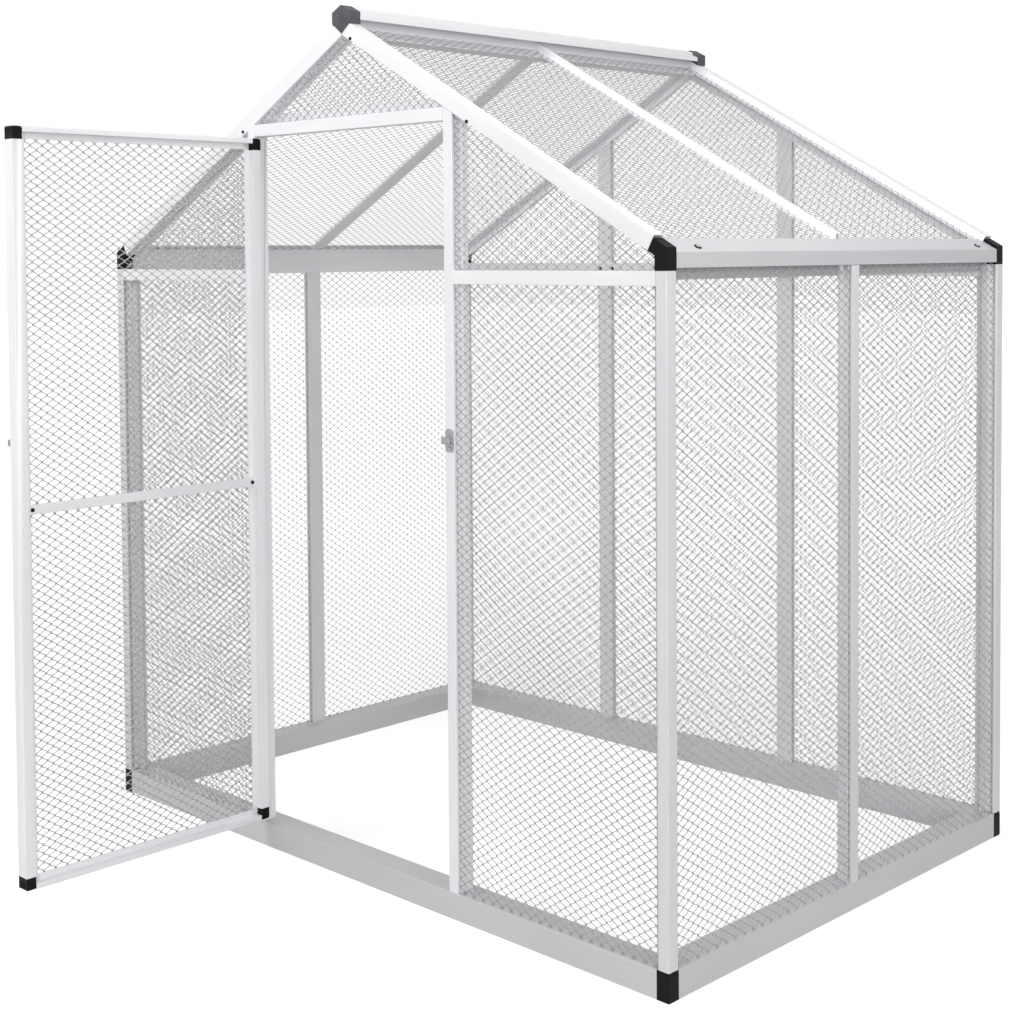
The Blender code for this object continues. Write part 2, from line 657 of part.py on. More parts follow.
def make_net(name, origin, across, along, outward, size, clips=()):
    """A diamond net that fills a rectangle, clipped by planes, as one closed solid of crossing wires."""
    width, height = size
    columns = max(1, round(width / (NET_PITCH_ACROSS * NET_BLOCK)))
    rows = max(1, round(height / (NET_PITCH_ALONG * NET_BLOCK)))
    place = placement(origin, across, along)
    to_local = place.inverted()
    shape = bmesh.new()
    bmesh.ops.create_grid(
        shape, x_segments=1, y_segments=1, size=0.5,
        matrix=Matrix.Diagonal((width, height, 1, 1)) @ Matrix.Translation((0.5, 0.5, 0)),
    )
    for point, normal in clips:
        geometry = shape.verts[:] + shape.edges[:] + shape.faces[:]
        bmesh.ops.bisect_plane(
            shape, geom=geometry, dist=SEAT, plane_co=to_local @ point,
            plane_no=to_local.to_3x3() @ normal, clear_outer=True,
        )
    for side, first in ((1, 1), (-1, 1 - rows)):
        normal = Vector((columns / width, side * rows / height, 0))
        for line in range(first, columns + rows * (side > 0)):
            geometry = shape.verts[:] + shape.edges[:] + shape.faces[:]
            start = Vector((line * width / columns, 0, 0))
            bmesh.ops.bisect_plane(
                shape, geom=geometry, dist=SEAT, plane_co=start, plane_no=normal.normalized()
            )
    least = NET_LEAST_SHARE * width * height / columns / rows / 2
    small = [face for face in shape.faces if face.calc_area() < least]
    while small:
        inner = [edge for edge in small[0].edges if len(edge.link_faces) == 2]
        longest = max(inner, key=lambda edge: edge.calc_length())
        bmesh.ops.dissolve_edges(shape, edges=[longest], use_verts=True)
        small = [face for face in shape.faces if face.calc_area() < least]
    mesh = bpy.data.meshes.new(name)
    shape.to_mesh(mesh)
    shape.free()
    net = add_object(name, mesh, WIRE, place)
    strands = net.modifiers.new("Strands", "WIREFRAME")
    strands.thickness = NET_THICKNESS
    strands.offset = 0
    strands.use_boundary = True
    strands.use_replace = True
    strands.use_even_offset = True
    return net


def make_wall_nets():
    """The nets of the front, the rear and the two sides: on the rails, their edges in the grooves."""
    low = RAIL_HEIGHT + NET_EDGE
    corner_side = BLOCK + NET_EDGE
    cap_side = HALF - corner_side
    eave_gap = RAFTER_FACE + NET_EDGE
    jamb_side = JAMB_FACE_X + RIB_WIDTH + NET_IN_GROOVE
    bar_side = REAR_BAR_X + RIB_WIDTH / 2 + NET_IN_GROOVE
    post_side = SIDE_POST_RIB / 2 + NET_IN_GROOVE
    for name, slope in SLOPES.items():
        under = slope.under(eave_gap)
        for end, y, inner in (("front", FRONT + NET_DEPTH, jamb_side), ("rear", REAR - NET_DEPTH, bar_side)):
            left = inner if slope.side > 0 else -cap_side
            size = (cap_side - inner, PEAK - eave_gap - inner * tan(ROOF_PITCH) - low)
            make_net(f"net_{end}_{name}", Vector((left, y, low)), X, Z, Y, size, [under])
        wall = slope.side * (HALF - NET_DEPTH)
        reach = DEPTH / 2 - corner_side - post_side
        size = (reach, EAVE_BOTTOM - NET_EDGE - low)
        for end, start in (("front", FRONT + corner_side), ("rear", MIDDLE + post_side)):
            make_net(f"net_{name}_{end}", Vector((wall, start, low)), Y, Z, X, size)
    both = [slope.under(eave_gap) for slope in SLOPES.values()]
    reach = REAR_BAR_X - RIB_WIDTH / 2 - NET_IN_GROOVE
    origin = Vector((-reach, REAR - NET_DEPTH, low))
    make_net("net_rear_middle", origin, X, Z, Y, (2 * reach, PEAK - eave_gap - low), both)
    bottom = HEADER_TOP + NET_INSET
    reach = JAMB_FACE_X - NET_EDGE
    origin = Vector((-reach, FRONT + NET_DEPTH, bottom))
    make_net("net_gable_front", origin, X, Z, Y, (2 * reach, PEAK - eave_gap - bottom), both)


def make_roof_nets():
    """Two nets on each slope, laid on the rafters' roof flanges."""
    below = ROOF_FLANGE_BELOW - NET_EDGE
    top = slope_reach(WALL / 2 + NET_INSET, below)
    bottom = slope_reach(HALF - LAP - WALL - NET_INSET, below)
    gable = RIB_DEPTH + NET_INSET
    middle = MIDDLE_RIB_WIDTH / 2 + NET_INSET
    reach = MIDDLE - FRONT - gable - middle
    for name, slope in SLOPES.items():
        for end, start in (("front", FRONT + gable), ("rear", MIDDLE + middle)):
            origin = slope.point(top, below, start)
            size = (reach, bottom - top)
            make_net(f"net_roof_{name}_{end}", origin, Y, slope.down, -slope.below, size)


def make_door():
    """The door as it stands when shut; its pieces hang from an empty on the hinge axis."""
    hinge = bpy.data.objects.new("door_hinge", None)
    AVIARY.objects.link(hinge)
    pieces = []
    height = DOOR_TOP - DOOR_BOTTOM
    for name, edge, across in (("hinge", DOOR_LEFT, X), ("free", DOOR_RIGHT, -X)):
        corner = Vector((edge, FRONT, 0))
        stile = extrusion(
            f"door_stile_{name}", stile_section(name == "hinge"), BRIGHT,
            corner, across, Y, Z, DOOR_BOTTOM, DOOR_TOP,
        )
        for low, high in ((DOOR_BOTTOM - SEAT, DOOR_BOTTOM + RAIL_BOX), (DOOR_TOP - RAIL_BOX, DOOR_TOP + SEAT)):
            ends = [corner + across * (STILE_BOX + SEAT / 2), corner + across * (STILE_BOX + 2 * DOOR_FLANGE)]
            low_x, high_x = min(end.x for end in ends), max(end.x for end in ends)
            pocket = box_mesh(
                "pocket",
                (low_x, FRONT - WALL, low - SEAT),
                (high_x, FRONT + DOOR_DEPTH + WALL, high + SEAT),
            )
            boolean(stile, pocket, "DIFFERENCE")
        pieces.append(stile)
    left, right = DOOR_LEFT + STILE_BOX, DOOR_RIGHT - STILE_BOX
    for name, level, up in (("bottom", DOOR_BOTTOM, Z), ("top", DOOR_TOP, -Z)):
        rail = extrusion(
            f"door_rail_{name}", door_rail_section(), BRIGHT,
            Vector((0, FRONT, level)), up, Y, X, left + SEAT, right - SEAT,
        )
        flange = level + up.z * (RAIL_BOX + SEAT / 2)
        beyond = level + up.z * (RAIL_BOX + 2 * DOOR_FLANGE)
        for stile_face, inner in ((left, left + DOOR_FLANGE + SEAT), (right, right - DOOR_FLANGE - SEAT)):
            pocket = box_mesh(
                "pocket",
                (min(stile_face, inner) - SEAT, FRONT - WALL, min(flange, beyond)),
                (max(stile_face, inner) + SEAT, FRONT + DOOR_DEPTH + WALL, max(flange, beyond)),
            )
            boolean(rail, pocket, "DIFFERENCE")
        pieces.append(rail)
    face = DOOR_FLANGE_DEPTH + WALL + SEAT
    pieces.append(extrusion(
        "door_rail_middle", tube_section(MIDDLE_RAIL_HEIGHT, MIDDLE_RAIL_DEPTH), BRIGHT,
        Vector((0, FRONT + face, MIDDLE_RAIL_BOTTOM)), Z, Y, X, left + SEAT, right - SEAT,
    ))
    low = Vector((
        left + NET_INSET, FRONT + DOOR_FLANGE_DEPTH - NET_EDGE, DOOR_BOTTOM + RAIL_BOX + NET_INSET
    ))
    size = (right - left - 2 * NET_INSET, height - 2 * RAIL_BOX - 2 * NET_INSET)
    pieces.append(make_net("net_door", low, X, Z, Y, size))
    pieces.extend(make_bolt())
    swing = Matrix.Rotation(-DOOR_OPEN_ANGLE, 4, "Z")
    hinge.matrix_world = Matrix.Translation(PIVOT) @ swing
    for piece in pieces:
        shut = piece.matrix_world.copy()
        piece.parent = hinge
        piece.matrix_parent_inverse = Matrix.Translation(-PIVOT)
        piece.matrix_basis = shut
    swung = Matrix.Translation(PIVOT) @ swing @ Matrix.Translation(-PIVOT)
    for piece in pieces:
        for step in piece.modifiers:
            if step.type == "BOOLEAN":
                step.object.matrix_world = swung @ step.object.matrix_world


def cylinder_mesh(name, radius, place, length, sides=16):
    """A capped cylinder that starts at its place and runs along the place's own z axis."""
    mesh = bpy.data.meshes.new(name)
    shape = bmesh.new()
    bmesh.ops.create_cone(
        shape, cap_ends=True, segments=sides, radius1=radius, radius2=radius, depth=length,
        matrix=place @ Matrix.Translation((0, 0, length / 2)),
    )
    shape.to_mesh(mesh)
    shape.free()
    return mesh


def make_bolt():
    """The sleeve on the door, the sliding bolt with its knob, and the keeper on the jamb."""
    bore = BOLT_RADIUS + BOLT_CLEARANCE
    half_height = SLEEVE_HEIGHT / 2
    depth = 2 * bore + 2 * SLEEVE_WALL
    axis_y = FRONT - SEAT - SLEEVE_WALL - bore
    sleeve_end = DOOR_RIGHT - SLEEVE_BACK
    sleeve_start = sleeve_end - SLEEVE_LENGTH
    sleeve = add_object("bolt_sleeve", box_mesh(
        "bolt_sleeve",
        (sleeve_start, FRONT - SEAT - depth, BOLT_HEIGHT - half_height),
        (sleeve_end, FRONT - SEAT, BOLT_HEIGHT + half_height),
    ), ZINC)
    along_x = Matrix.Rotation(radians(90), 4, "Y")
    centre = Vector((sleeve_start - WALL, axis_y, BOLT_HEIGHT))
    hole = cylinder_mesh("bore", bore, Matrix.Translation(centre) @ along_x, SLEEVE_LENGTH + 2 * WALL)
    boolean(sleeve, hole, "DIFFERENCE")
    tip = DOOR_RIGHT - BOLT_BACK
    knob_x = tip - BOLT_LENGTH + KNOB_FROM_TAIL
    slot_half = KNOB_RADIUS + BOLT_CLEARANCE
    boolean(sleeve, box_mesh(
        "slot",
        (knob_x - slot_half, FRONT - SEAT - depth - WALL, BOLT_HEIGHT - slot_half),
        (knob_x + BOLT_TRAVEL + slot_half, axis_y, BOLT_HEIGHT + slot_half),
    ), "DIFFERENCE")
    tail = Vector((tip - BOLT_LENGTH, axis_y, BOLT_HEIGHT))
    rod = add_object(
        "bolt", cylinder_mesh("bolt", BOLT_RADIUS, Matrix.Translation(tail) @ along_x, BOLT_LENGTH), ZINC
    )
    outward = Matrix.Rotation(radians(90), 4, "X")
    knob_place = Matrix.Translation((knob_x, axis_y, BOLT_HEIGHT)) @ outward
    boolean(rod, cylinder_mesh("knob", KNOB_RADIUS, knob_place, KNOB_LENGTH, 12), "UNION")
    make_keeper(axis_y)
    return [sleeve, rod]


def make_keeper(axis_y):
    """A bent strap on the jamb's face: two tabs and a loop that the bolt slides into."""
    loop = BOLT_RADIUS + KEEPER_GAP
    rise = FRONT - SEAT - axis_y
    half = KEEPER_HEIGHT / 2
    strap = [
        (-half, 0), (-loop, 0), (-loop, rise + loop), (loop, rise + loop), (loop, 0), (half, 0),
        (half, KEEPER_SHEET), (loop + KEEPER_SHEET, KEEPER_SHEET),
        (loop + KEEPER_SHEET, rise + loop + KEEPER_SHEET), (-loop - KEEPER_SHEET, rise + loop + KEEPER_SHEET),
        (-loop - KEEPER_SHEET, KEEPER_SHEET), (-half, KEEPER_SHEET),
    ]
    start = JAMB_FACE_X + KEEPER_INSET
    extrusion(
        "bolt_keeper", [strap], ZINC, Vector((0, FRONT - SEAT, BOLT_HEIGHT)), Z, -Y, X,
        start, start + KEEPER_WIDTH,
    )


make_base()
make_posts()
make_door_frame()
make_eaves()
make_roof()
make_wall_nets()
make_roof_nets()
make_door()
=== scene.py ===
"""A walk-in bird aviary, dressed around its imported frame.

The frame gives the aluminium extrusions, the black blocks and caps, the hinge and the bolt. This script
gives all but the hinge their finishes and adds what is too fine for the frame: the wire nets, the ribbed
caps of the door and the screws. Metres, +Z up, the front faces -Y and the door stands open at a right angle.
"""

import json
import logging
import math
from collections.abc import Callable, Iterator
from contextlib import contextmanager
from dataclasses import dataclass
from enum import Enum

import bmesh
import bpy
from mathutils import Euler, Matrix, Vector

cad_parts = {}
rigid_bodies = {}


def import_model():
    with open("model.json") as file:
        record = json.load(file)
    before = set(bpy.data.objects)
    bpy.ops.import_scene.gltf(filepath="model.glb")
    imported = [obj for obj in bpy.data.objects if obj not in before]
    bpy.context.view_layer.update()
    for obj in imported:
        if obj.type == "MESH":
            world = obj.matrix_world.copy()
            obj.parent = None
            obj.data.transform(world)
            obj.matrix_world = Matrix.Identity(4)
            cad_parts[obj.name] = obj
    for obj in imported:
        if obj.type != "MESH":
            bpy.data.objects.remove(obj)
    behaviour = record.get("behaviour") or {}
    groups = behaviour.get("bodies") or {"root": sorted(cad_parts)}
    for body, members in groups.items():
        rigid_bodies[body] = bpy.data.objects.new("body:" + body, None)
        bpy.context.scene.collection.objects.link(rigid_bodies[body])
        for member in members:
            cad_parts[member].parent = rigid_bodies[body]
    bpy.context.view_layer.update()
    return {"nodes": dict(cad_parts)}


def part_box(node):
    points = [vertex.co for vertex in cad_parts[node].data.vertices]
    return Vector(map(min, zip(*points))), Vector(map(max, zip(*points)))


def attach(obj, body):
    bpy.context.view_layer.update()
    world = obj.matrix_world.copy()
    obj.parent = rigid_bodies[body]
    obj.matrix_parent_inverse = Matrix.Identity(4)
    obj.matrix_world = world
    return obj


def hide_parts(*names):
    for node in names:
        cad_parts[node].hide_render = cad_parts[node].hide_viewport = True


LOG = logging.getLogger("aviary")
ROOF_PITCH = math.radians(28.85)
PICTURE_PIXELS = 1024
SENSOR_WIDTH = 36.0
NOISE_RANGE = (0.3, 0.7)
X_AXIS, Y_AXIS, Z_AXIS = Vector((1, 0, 0)), Vector((0, 1, 0)), Vector((0, 0, 1))
Triple = tuple[float, float, float]
Colour = Triple
Pair = tuple[float, float]
Trim = tuple[Vector, Vector]
Place = tuple[Vector, Vector, float]
Socket, Material, Piece = bpy.types.NodeSocket, bpy.types.Material, bpy.types.Object
Edge, Face = bmesh.types.BMEdge, bmesh.types.BMFace
EdgeTest, FaceTest = Callable[[Edge], bool], Callable[[Face], bool]


def shade(red: int, green: int, blue: int) -> Colour:
    """A linear colour from the 0 to 255 values that a screen shows.

    Args:
        red: The red value.
        green: The green value.
        blue: The blue value.

    Returns:
        The linear red, green and blue shares.
    """
    def linear(value: int) -> float:
        """One channel's linear share."""
        share = value / 255
        return share / 12.92 if share <= 0.04045 else ((share + 0.055) / 1.055) ** 2.4

    return linear(red), linear(green), linear(blue)


def scaled(colour: Colour, factor: float) -> Colour:
    """A colour made lighter or darker by a factor."""
    return colour[0] * factor, colour[1] * factor, colour[2] * factor


class Grain(Enum):
    """The direction in which an extrusion was drawn, as the turn that brings Z onto it."""

    UPRIGHT = (0.0, 0.0, 0.0)
    LENGTHWISE = (-math.pi / 2, 0.0, 0.0)
    ACROSS = (0.0, math.pi / 2, 0.0)
    DOWN_LEFT = (0.0, math.pi / 2 - ROOF_PITCH, 0.0)
    DOWN_RIGHT = (0.0, math.pi / 2 + ROOF_PITCH, 0.0)


class NodeSheet:
    """A node tree, with short calls to fill it."""

    def __init__(self, tree: bpy.types.NodeTree) -> None:
        """Keeps the tree that is filled."""
        self.tree = tree

    def add(self, kind: str, **values: object) -> bpy.types.Node:
        """Adds a node and sets its sockets by name, or its properties where no socket has the name.

        Args:
            kind: The node's type.
            values: Socket or property values, with spaces in a socket's name written as underscores.

        Returns:
            The new node.
        """
        node = self.tree.nodes.new(kind)
        for key, value in values.items():
            socket = node.inputs.get(key.replace("_", " "))
            if socket is None:
                setattr(node, key, value)
            else:
                socket.default_value = value
        return node

    def join(self, source: Socket, target: Socket) -> None:
        """Links an output to an input."""
        self.tree.links.new(source, target)

    def seen(self, *rays: str) -> Socket:
        """A value of 1 for camera rays and for the other kinds of ray that are named, else 0.

        Args:
            rays: The other kinds, as Light Path names its outputs.

        Returns:
            The value output.
        """
        path = self.add("ShaderNodeLightPath")
        value = path.outputs["Is Camera Ray"]
        for ray in rays:
            either = self.add("ShaderNodeMath", operation="MAXIMUM")
            self.join(value, either.inputs[0])
            self.join(path.outputs[ray], either.inputs[1])
            value = either.outputs[0]
        return value


class FinishSheet(NodeSheet):
    """The node tree of a material, with the calls that fill its Principled shader."""

    def __init__(self, name: str) -> None:
        """Starts a material under a name."""
        self.material = bpy.data.materials.new(name)
        self.material.use_nodes = True
        super().__init__(self.material.node_tree)
        self.shader = self.tree.nodes["Principled BSDF"]

    def noise(self, grain: Grain, size: Triple, detail: float = 3.0) -> Socket:
        """A noise on Object coordinates that are turned onto a direction.

        Args:
            grain: The direction.
            size: The size of its features along the turned X, Y and Z, in metres.
            detail: How many finer layers it has.

        Returns:
            The noise's value.
        """
        place = self.add("ShaderNodeTexCoord")
        turned = self.add("ShaderNodeMapping", vector_type="TEXTURE", Rotation=Euler(grain.value), Scale=size)
        self.join(place.outputs["Object"], turned.inputs["Vector"])
        cloud = self.add("ShaderNodeTexNoise", Scale=1.0, Detail=detail, Roughness=0.6)
        self.join(turned.outputs["Vector"], cloud.inputs["Vector"])
        return cloud.outputs["Fac"]

    def ramp(self, noise: Socket, low: Colour, high: Colour) -> Socket:
        """A colour between two, by a noise.

        Args:
            noise: The noise's value.
            low: The colour at its low end.
            high: The colour at its high end.

        Returns:
            The colour output.
        """
        node = self.add("ShaderNodeValToRGB")
        first, last = node.color_ramp.elements
        first.position, last.position = NOISE_RANGE
        first.color, last.color = (*low, 1.0), (*high, 1.0)
        self.join(noise, node.inputs["Fac"])
        return node.outputs["Color"]

    def dress(self, colour: Socket, noise: Socket,
              roughness: Pair, **values: float) -> None:
        """Gives the shader its colour, its uneven gloss and its plain values.

        Args:
            colour: The colour output.
            noise: The noise that the roughness follows.
            roughness: The roughness at the noise's low and high end.
            values: Values of the shader's own sockets, named as in add.
        """
        self.join(colour, self.shader.inputs["Base Color"])
        (start, stop), (low, high) = NOISE_RANGE, roughness
        node = self.add("ShaderNodeMapRange", From_Min=start, From_Max=stop, To_Min=low, To_Max=high)
        self.join(noise, node.inputs["Value"])
        self.join(node.outputs["Result"], self.shader.inputs["Roughness"])
        for key, value in values.items():
            self.shader.inputs[key.replace("_", " ")].default_value = value

    def bump(self, height: Socket, distance: float, strength: float) -> None:
        """Roughens the surface by a height, in metres.

        Args:
            height: The height's value.
            distance: How high one unit is.
            strength: The share of it that shows.
        """
        node = self.add("ShaderNodeBump", Strength=strength, Distance=distance)
        self.join(height, node.inputs["Height"])
        self.join(node.outputs["Normal"], self.shader.inputs["Normal"])


@dataclass(frozen=True)
class BrushedAluminium:
    """Satin extruded aluminium: fine die lines along the bar, faint clouds and a little uneven gloss."""

    name: str
    colour: Colour
    grain: Grain
    metallic: float = 0.15
    roughness: Pair = (0.36, 0.50)
    tone: Pair = (0.94, 1.02)
    line_width: float = 0.0011
    line_length: float = 0.16
    line_height: float = 0.00005
    line_strength: float = 0.35
    cloud_size: float = 0.11
    cloud_length: float = 0.44
    cloud_tint: Colour = (0.93, 0.93, 0.94)

    def make(self) -> Material:
        """The finish as a material."""
        sheet = FinishSheet(self.name)
        lines = sheet.noise(self.grain, (self.line_width, self.line_width, self.line_length))
        clouds = sheet.noise(self.grain, (self.cloud_size, self.cloud_size, self.cloud_length), 2.0)
        tone = sheet.ramp(lines, *(scaled(self.colour, share) for share in self.tone))
        both = sheet.add("ShaderNodeMix", data_type="RGBA", blend_type="MULTIPLY", Factor=1.0)
        sheet.join(tone, both.inputs[6])
        sheet.join(sheet.ramp(clouds, self.cloud_tint, (1.0, 1.0, 1.0)), both.inputs[7])
        sheet.dress(both.outputs[2], lines, self.roughness, Metallic=self.metallic)
        sheet.bump(lines, self.line_height, self.line_strength)
        return sheet.material


@dataclass(frozen=True)
class GalvanisedWire:
    """Dull zinc on drawn wire: small light and dark spangles, the dark ones duller."""

    name: str
    dark: Colour
    light: Colour
    metallic: float = 0.85
    roughness: Pair = (0.6, 0.4)
    spangle: float = 0.004

    def make(self) -> Material:
        """The finish as a material."""
        sheet = FinishSheet(self.name)
        spots = sheet.noise(Grain.UPRIGHT, (self.spangle,) * 3)
        tone = sheet.ramp(spots, self.dark, self.light)
        sheet.dress(tone, spots, self.roughness, Metallic=self.metallic)
        return sheet.material


@dataclass(frozen=True)
class MouldedPlastic:
    """Black moulded plastic with a fine spark-eroded grain and faint scuffs."""

    name: str
    colour: Colour
    specular: float = 0.1
    roughness: Pair = (0.47, 0.62)
    tone: Pair = (0.85, 1.35)
    grain_size: float = 0.0009
    grain_height: float = 0.00008
    grain_strength: float = 0.4
    scuff_size: float = 0.02

    def make(self) -> Material:
        """The finish as a material."""
        sheet = FinishSheet(self.name)
        grain = sheet.noise(Grain.UPRIGHT, (self.grain_size,) * 3, 2.0)
        scuffs = sheet.noise(Grain.UPRIGHT, (self.scuff_size,) * 3, 4.0)
        tone = sheet.ramp(scuffs, *(scaled(self.colour, share) for share in self.tone))
        sheet.dress(tone, scuffs, self.roughness, Specular_IOR_Level=self.specular)
        sheet.bump(grain, self.grain_height, self.grain_strength)
        return sheet.material


@dataclass(frozen=True)
class PlatedSteel:
    """Zinc-plated steel of the bolt, the keeper and the bright screws."""

    name: str
    colour: Colour
    metallic: float = 0.85
    roughness: Pair = (0.26, 0.44)
    tone: Pair = (0.8, 1.1)
    cloud_size: float = 0.006

    def make(self) -> Material:
        """The finish as a material."""
        sheet = FinishSheet(self.name)
        clouds = sheet.noise(Grain.UPRIGHT, (self.cloud_size,) * 3)
        tone = sheet.ramp(clouds, *(scaled(self.colour, share) for share in self.tone))
        sheet.dress(tone, clouds, self.roughness, Metallic=self.metallic)
        return sheet.material


class Bench:
    """The hand tools that every sub-assembly uses."""

    @staticmethod
    def clear() -> None:
        """Deselects everything, the frame's own nodes too."""
        for item in bpy.context.selected_objects:
            item.select_set(False)

    @staticmethod
    def take(piece: Piece) -> None:
        """Makes one piece the only selected and the active one.

        Args:
            piece: The piece.
        """
        Bench.clear()
        piece.select_set(True)
        bpy.context.view_layer.objects.active = piece

    @staticmethod
    def put(name: str, data: bpy.types.ID) -> Piece:
        """Puts a mesh, a lamp or a camera in the scene.

        Args:
            name: The new object's name.
            data: What it shows.

        Returns:
            The new object.
        """
        item = bpy.data.objects.new(name, data)
        bpy.context.scene.collection.objects.link(item)
        return item

    @staticmethod
    @contextmanager
    def editing(piece: Piece) -> Iterator[None]:
        """Edit mode on one piece, with all of it selected at the start.

        Args:
            piece: The piece to edit.

        Yields:
            Nothing; edit mode ends when the block does.
        """
        Bench.take(piece)
        bpy.ops.object.mode_set(mode="EDIT")
        bpy.ops.mesh.select_mode(type="VERT")
        bpy.ops.mesh.select_all(action="SELECT")
        yield
        bpy.ops.object.mode_set(mode="OBJECT")

    @staticmethod
    def score(levels: list[tuple[Vector, float]]) -> None:
        """Cuts new edges round the edited piece.

        Args:
            levels: Each cut's axis and its distance from the origin along it.
        """
        for axis, level in levels:
            bpy.ops.mesh.select_all(action="SELECT")
            bpy.ops.mesh.bisect(plane_co=axis * level, plane_no=axis)

    @staticmethod
    def pick_faces(piece: Piece, wanted: FaceTest) -> None:
        """Selects chosen faces of the edited piece and nothing else.

        Args:
            piece: The piece.
            wanted: Says of a face whether it is chosen.
        """
        bpy.ops.mesh.select_mode(type="FACE")
        bpy.ops.mesh.select_all(action="DESELECT")
        shape = bmesh.from_edit_mesh(piece.data)
        for face in shape.faces:
            face.select_set(wanted(face))
        bmesh.update_edit_mesh(piece.data)

    @staticmethod
    def apply_modifiers(piece: Piece) -> None:
        """Applies every modifier of a piece, in order.

        Args:
            piece: The piece.
        """
        Bench.take(piece)
        for modifier in list(piece.modifiers):
            bpy.ops.object.modifier_apply(modifier=modifier.name)

    @staticmethod
    def settle(piece: Piece, place: Matrix) -> None:
        """Puts a piece in its place and moves that place into its mesh.

        Args:
            piece: The piece, modelled at the origin.
            place: Where it goes.
        """
        Bench.take(piece)
        piece.matrix_world = place
        bpy.ops.object.transform_apply(location=True, rotation=True, scale=True)

    @staticmethod
    def copy_of(node: str, name: str) -> Piece:
        """A merged copy of one of the frame's nodes, with whole faces in place of its triangles.

        Args:
            node: The frame's node.
            name: The copy's name.

        Returns:
            The copy, where the node is.
        """
        source = next(item for item in bpy.data.objects if item.name == node)
        piece = Bench.put(name, source.data.copy())
        with Bench.editing(piece):
            bpy.ops.mesh.remove_doubles(threshold=0.00002)
            bpy.ops.mesh.dissolve_limited(angle_limit=math.radians(1))
        return piece

    @staticmethod
    def block(low: Vector, high: Vector, name: str) -> Piece:
        """A block between two corners, to be shaped further.

        Args:
            low: The lowest corner.
            high: The highest corner.
            name: The block's name.

        Returns:
            The block, with its place in its mesh.
        """
        Bench.clear()
        bpy.ops.mesh.primitive_cube_add(size=1, location=(low + high) / 2, scale=high - low)
        piece = bpy.context.object
        piece.name = name
        bpy.ops.object.transform_apply(location=True, rotation=True, scale=True)
        return piece

    @staticmethod
    def cut_away(piece: Piece, low: Vector, high: Vector) -> None:
        """Cuts a block's room out of a piece.

        Args:
            piece: The piece to cut.
            low: The room's lowest corner.
            high: The room's highest corner.
        """
        room = Bench.block(low, high, "cut")
        cut = piece.modifiers.new("cut", "BOOLEAN")
        cut.operation, cut.solver, cut.object = "DIFFERENCE", "EXACT", room
        Bench.apply_modifiers(piece)
        bpy.data.objects.remove(room)

    @staticmethod
    def round_edges(piece: Piece, radius: float, segments: int,
                    wanted: EdgeTest) -> None:
        """Rounds chosen edges and shades the result smooth, with the flat faces kept flat.

        Args:
            piece: The piece.
            radius: The rounding's radius.
            segments: How many faces a rounding has.
            wanted: Says of an edge whether it is rounded.
        """
        with Bench.editing(piece):
            bpy.ops.mesh.select_mode(type="EDGE")
            bpy.ops.mesh.select_all(action="DESELECT")
            shape = bmesh.from_edit_mesh(piece.data)
            for edge in shape.edges:
                edge.select_set(len(edge.link_faces) == 2 and wanted(edge))
            bmesh.update_edit_mesh(piece.data)
            bpy.ops.mesh.bevel(offset=radius, segments=segments, affect="EDGES", clamp_overlap=True)
        Bench.take(piece)
        bpy.ops.object.shade_smooth_by_angle(angle=math.radians(50))
        even = piece.modifiers.new("even", "WEIGHTED_NORMAL")
        even.keep_sharp = True
        Bench.apply_modifiers(piece)

    @staticmethod
    def hand_over(piece: Piece, body: str, slot: str, finish: Material) -> None:
        """Gives a finished piece its material and its body.

        Args:
            piece: The finished piece.
            body: The body that it rides on.
            slot: The record's material slot; not used.
            finish: The material.
        """
        piece.data.materials.clear()
        piece.data.materials.append(finish)
        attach(piece, body)
        LOG.info("%s rides on %s, %d faces", piece.name, body, len(piece.data.polygons))


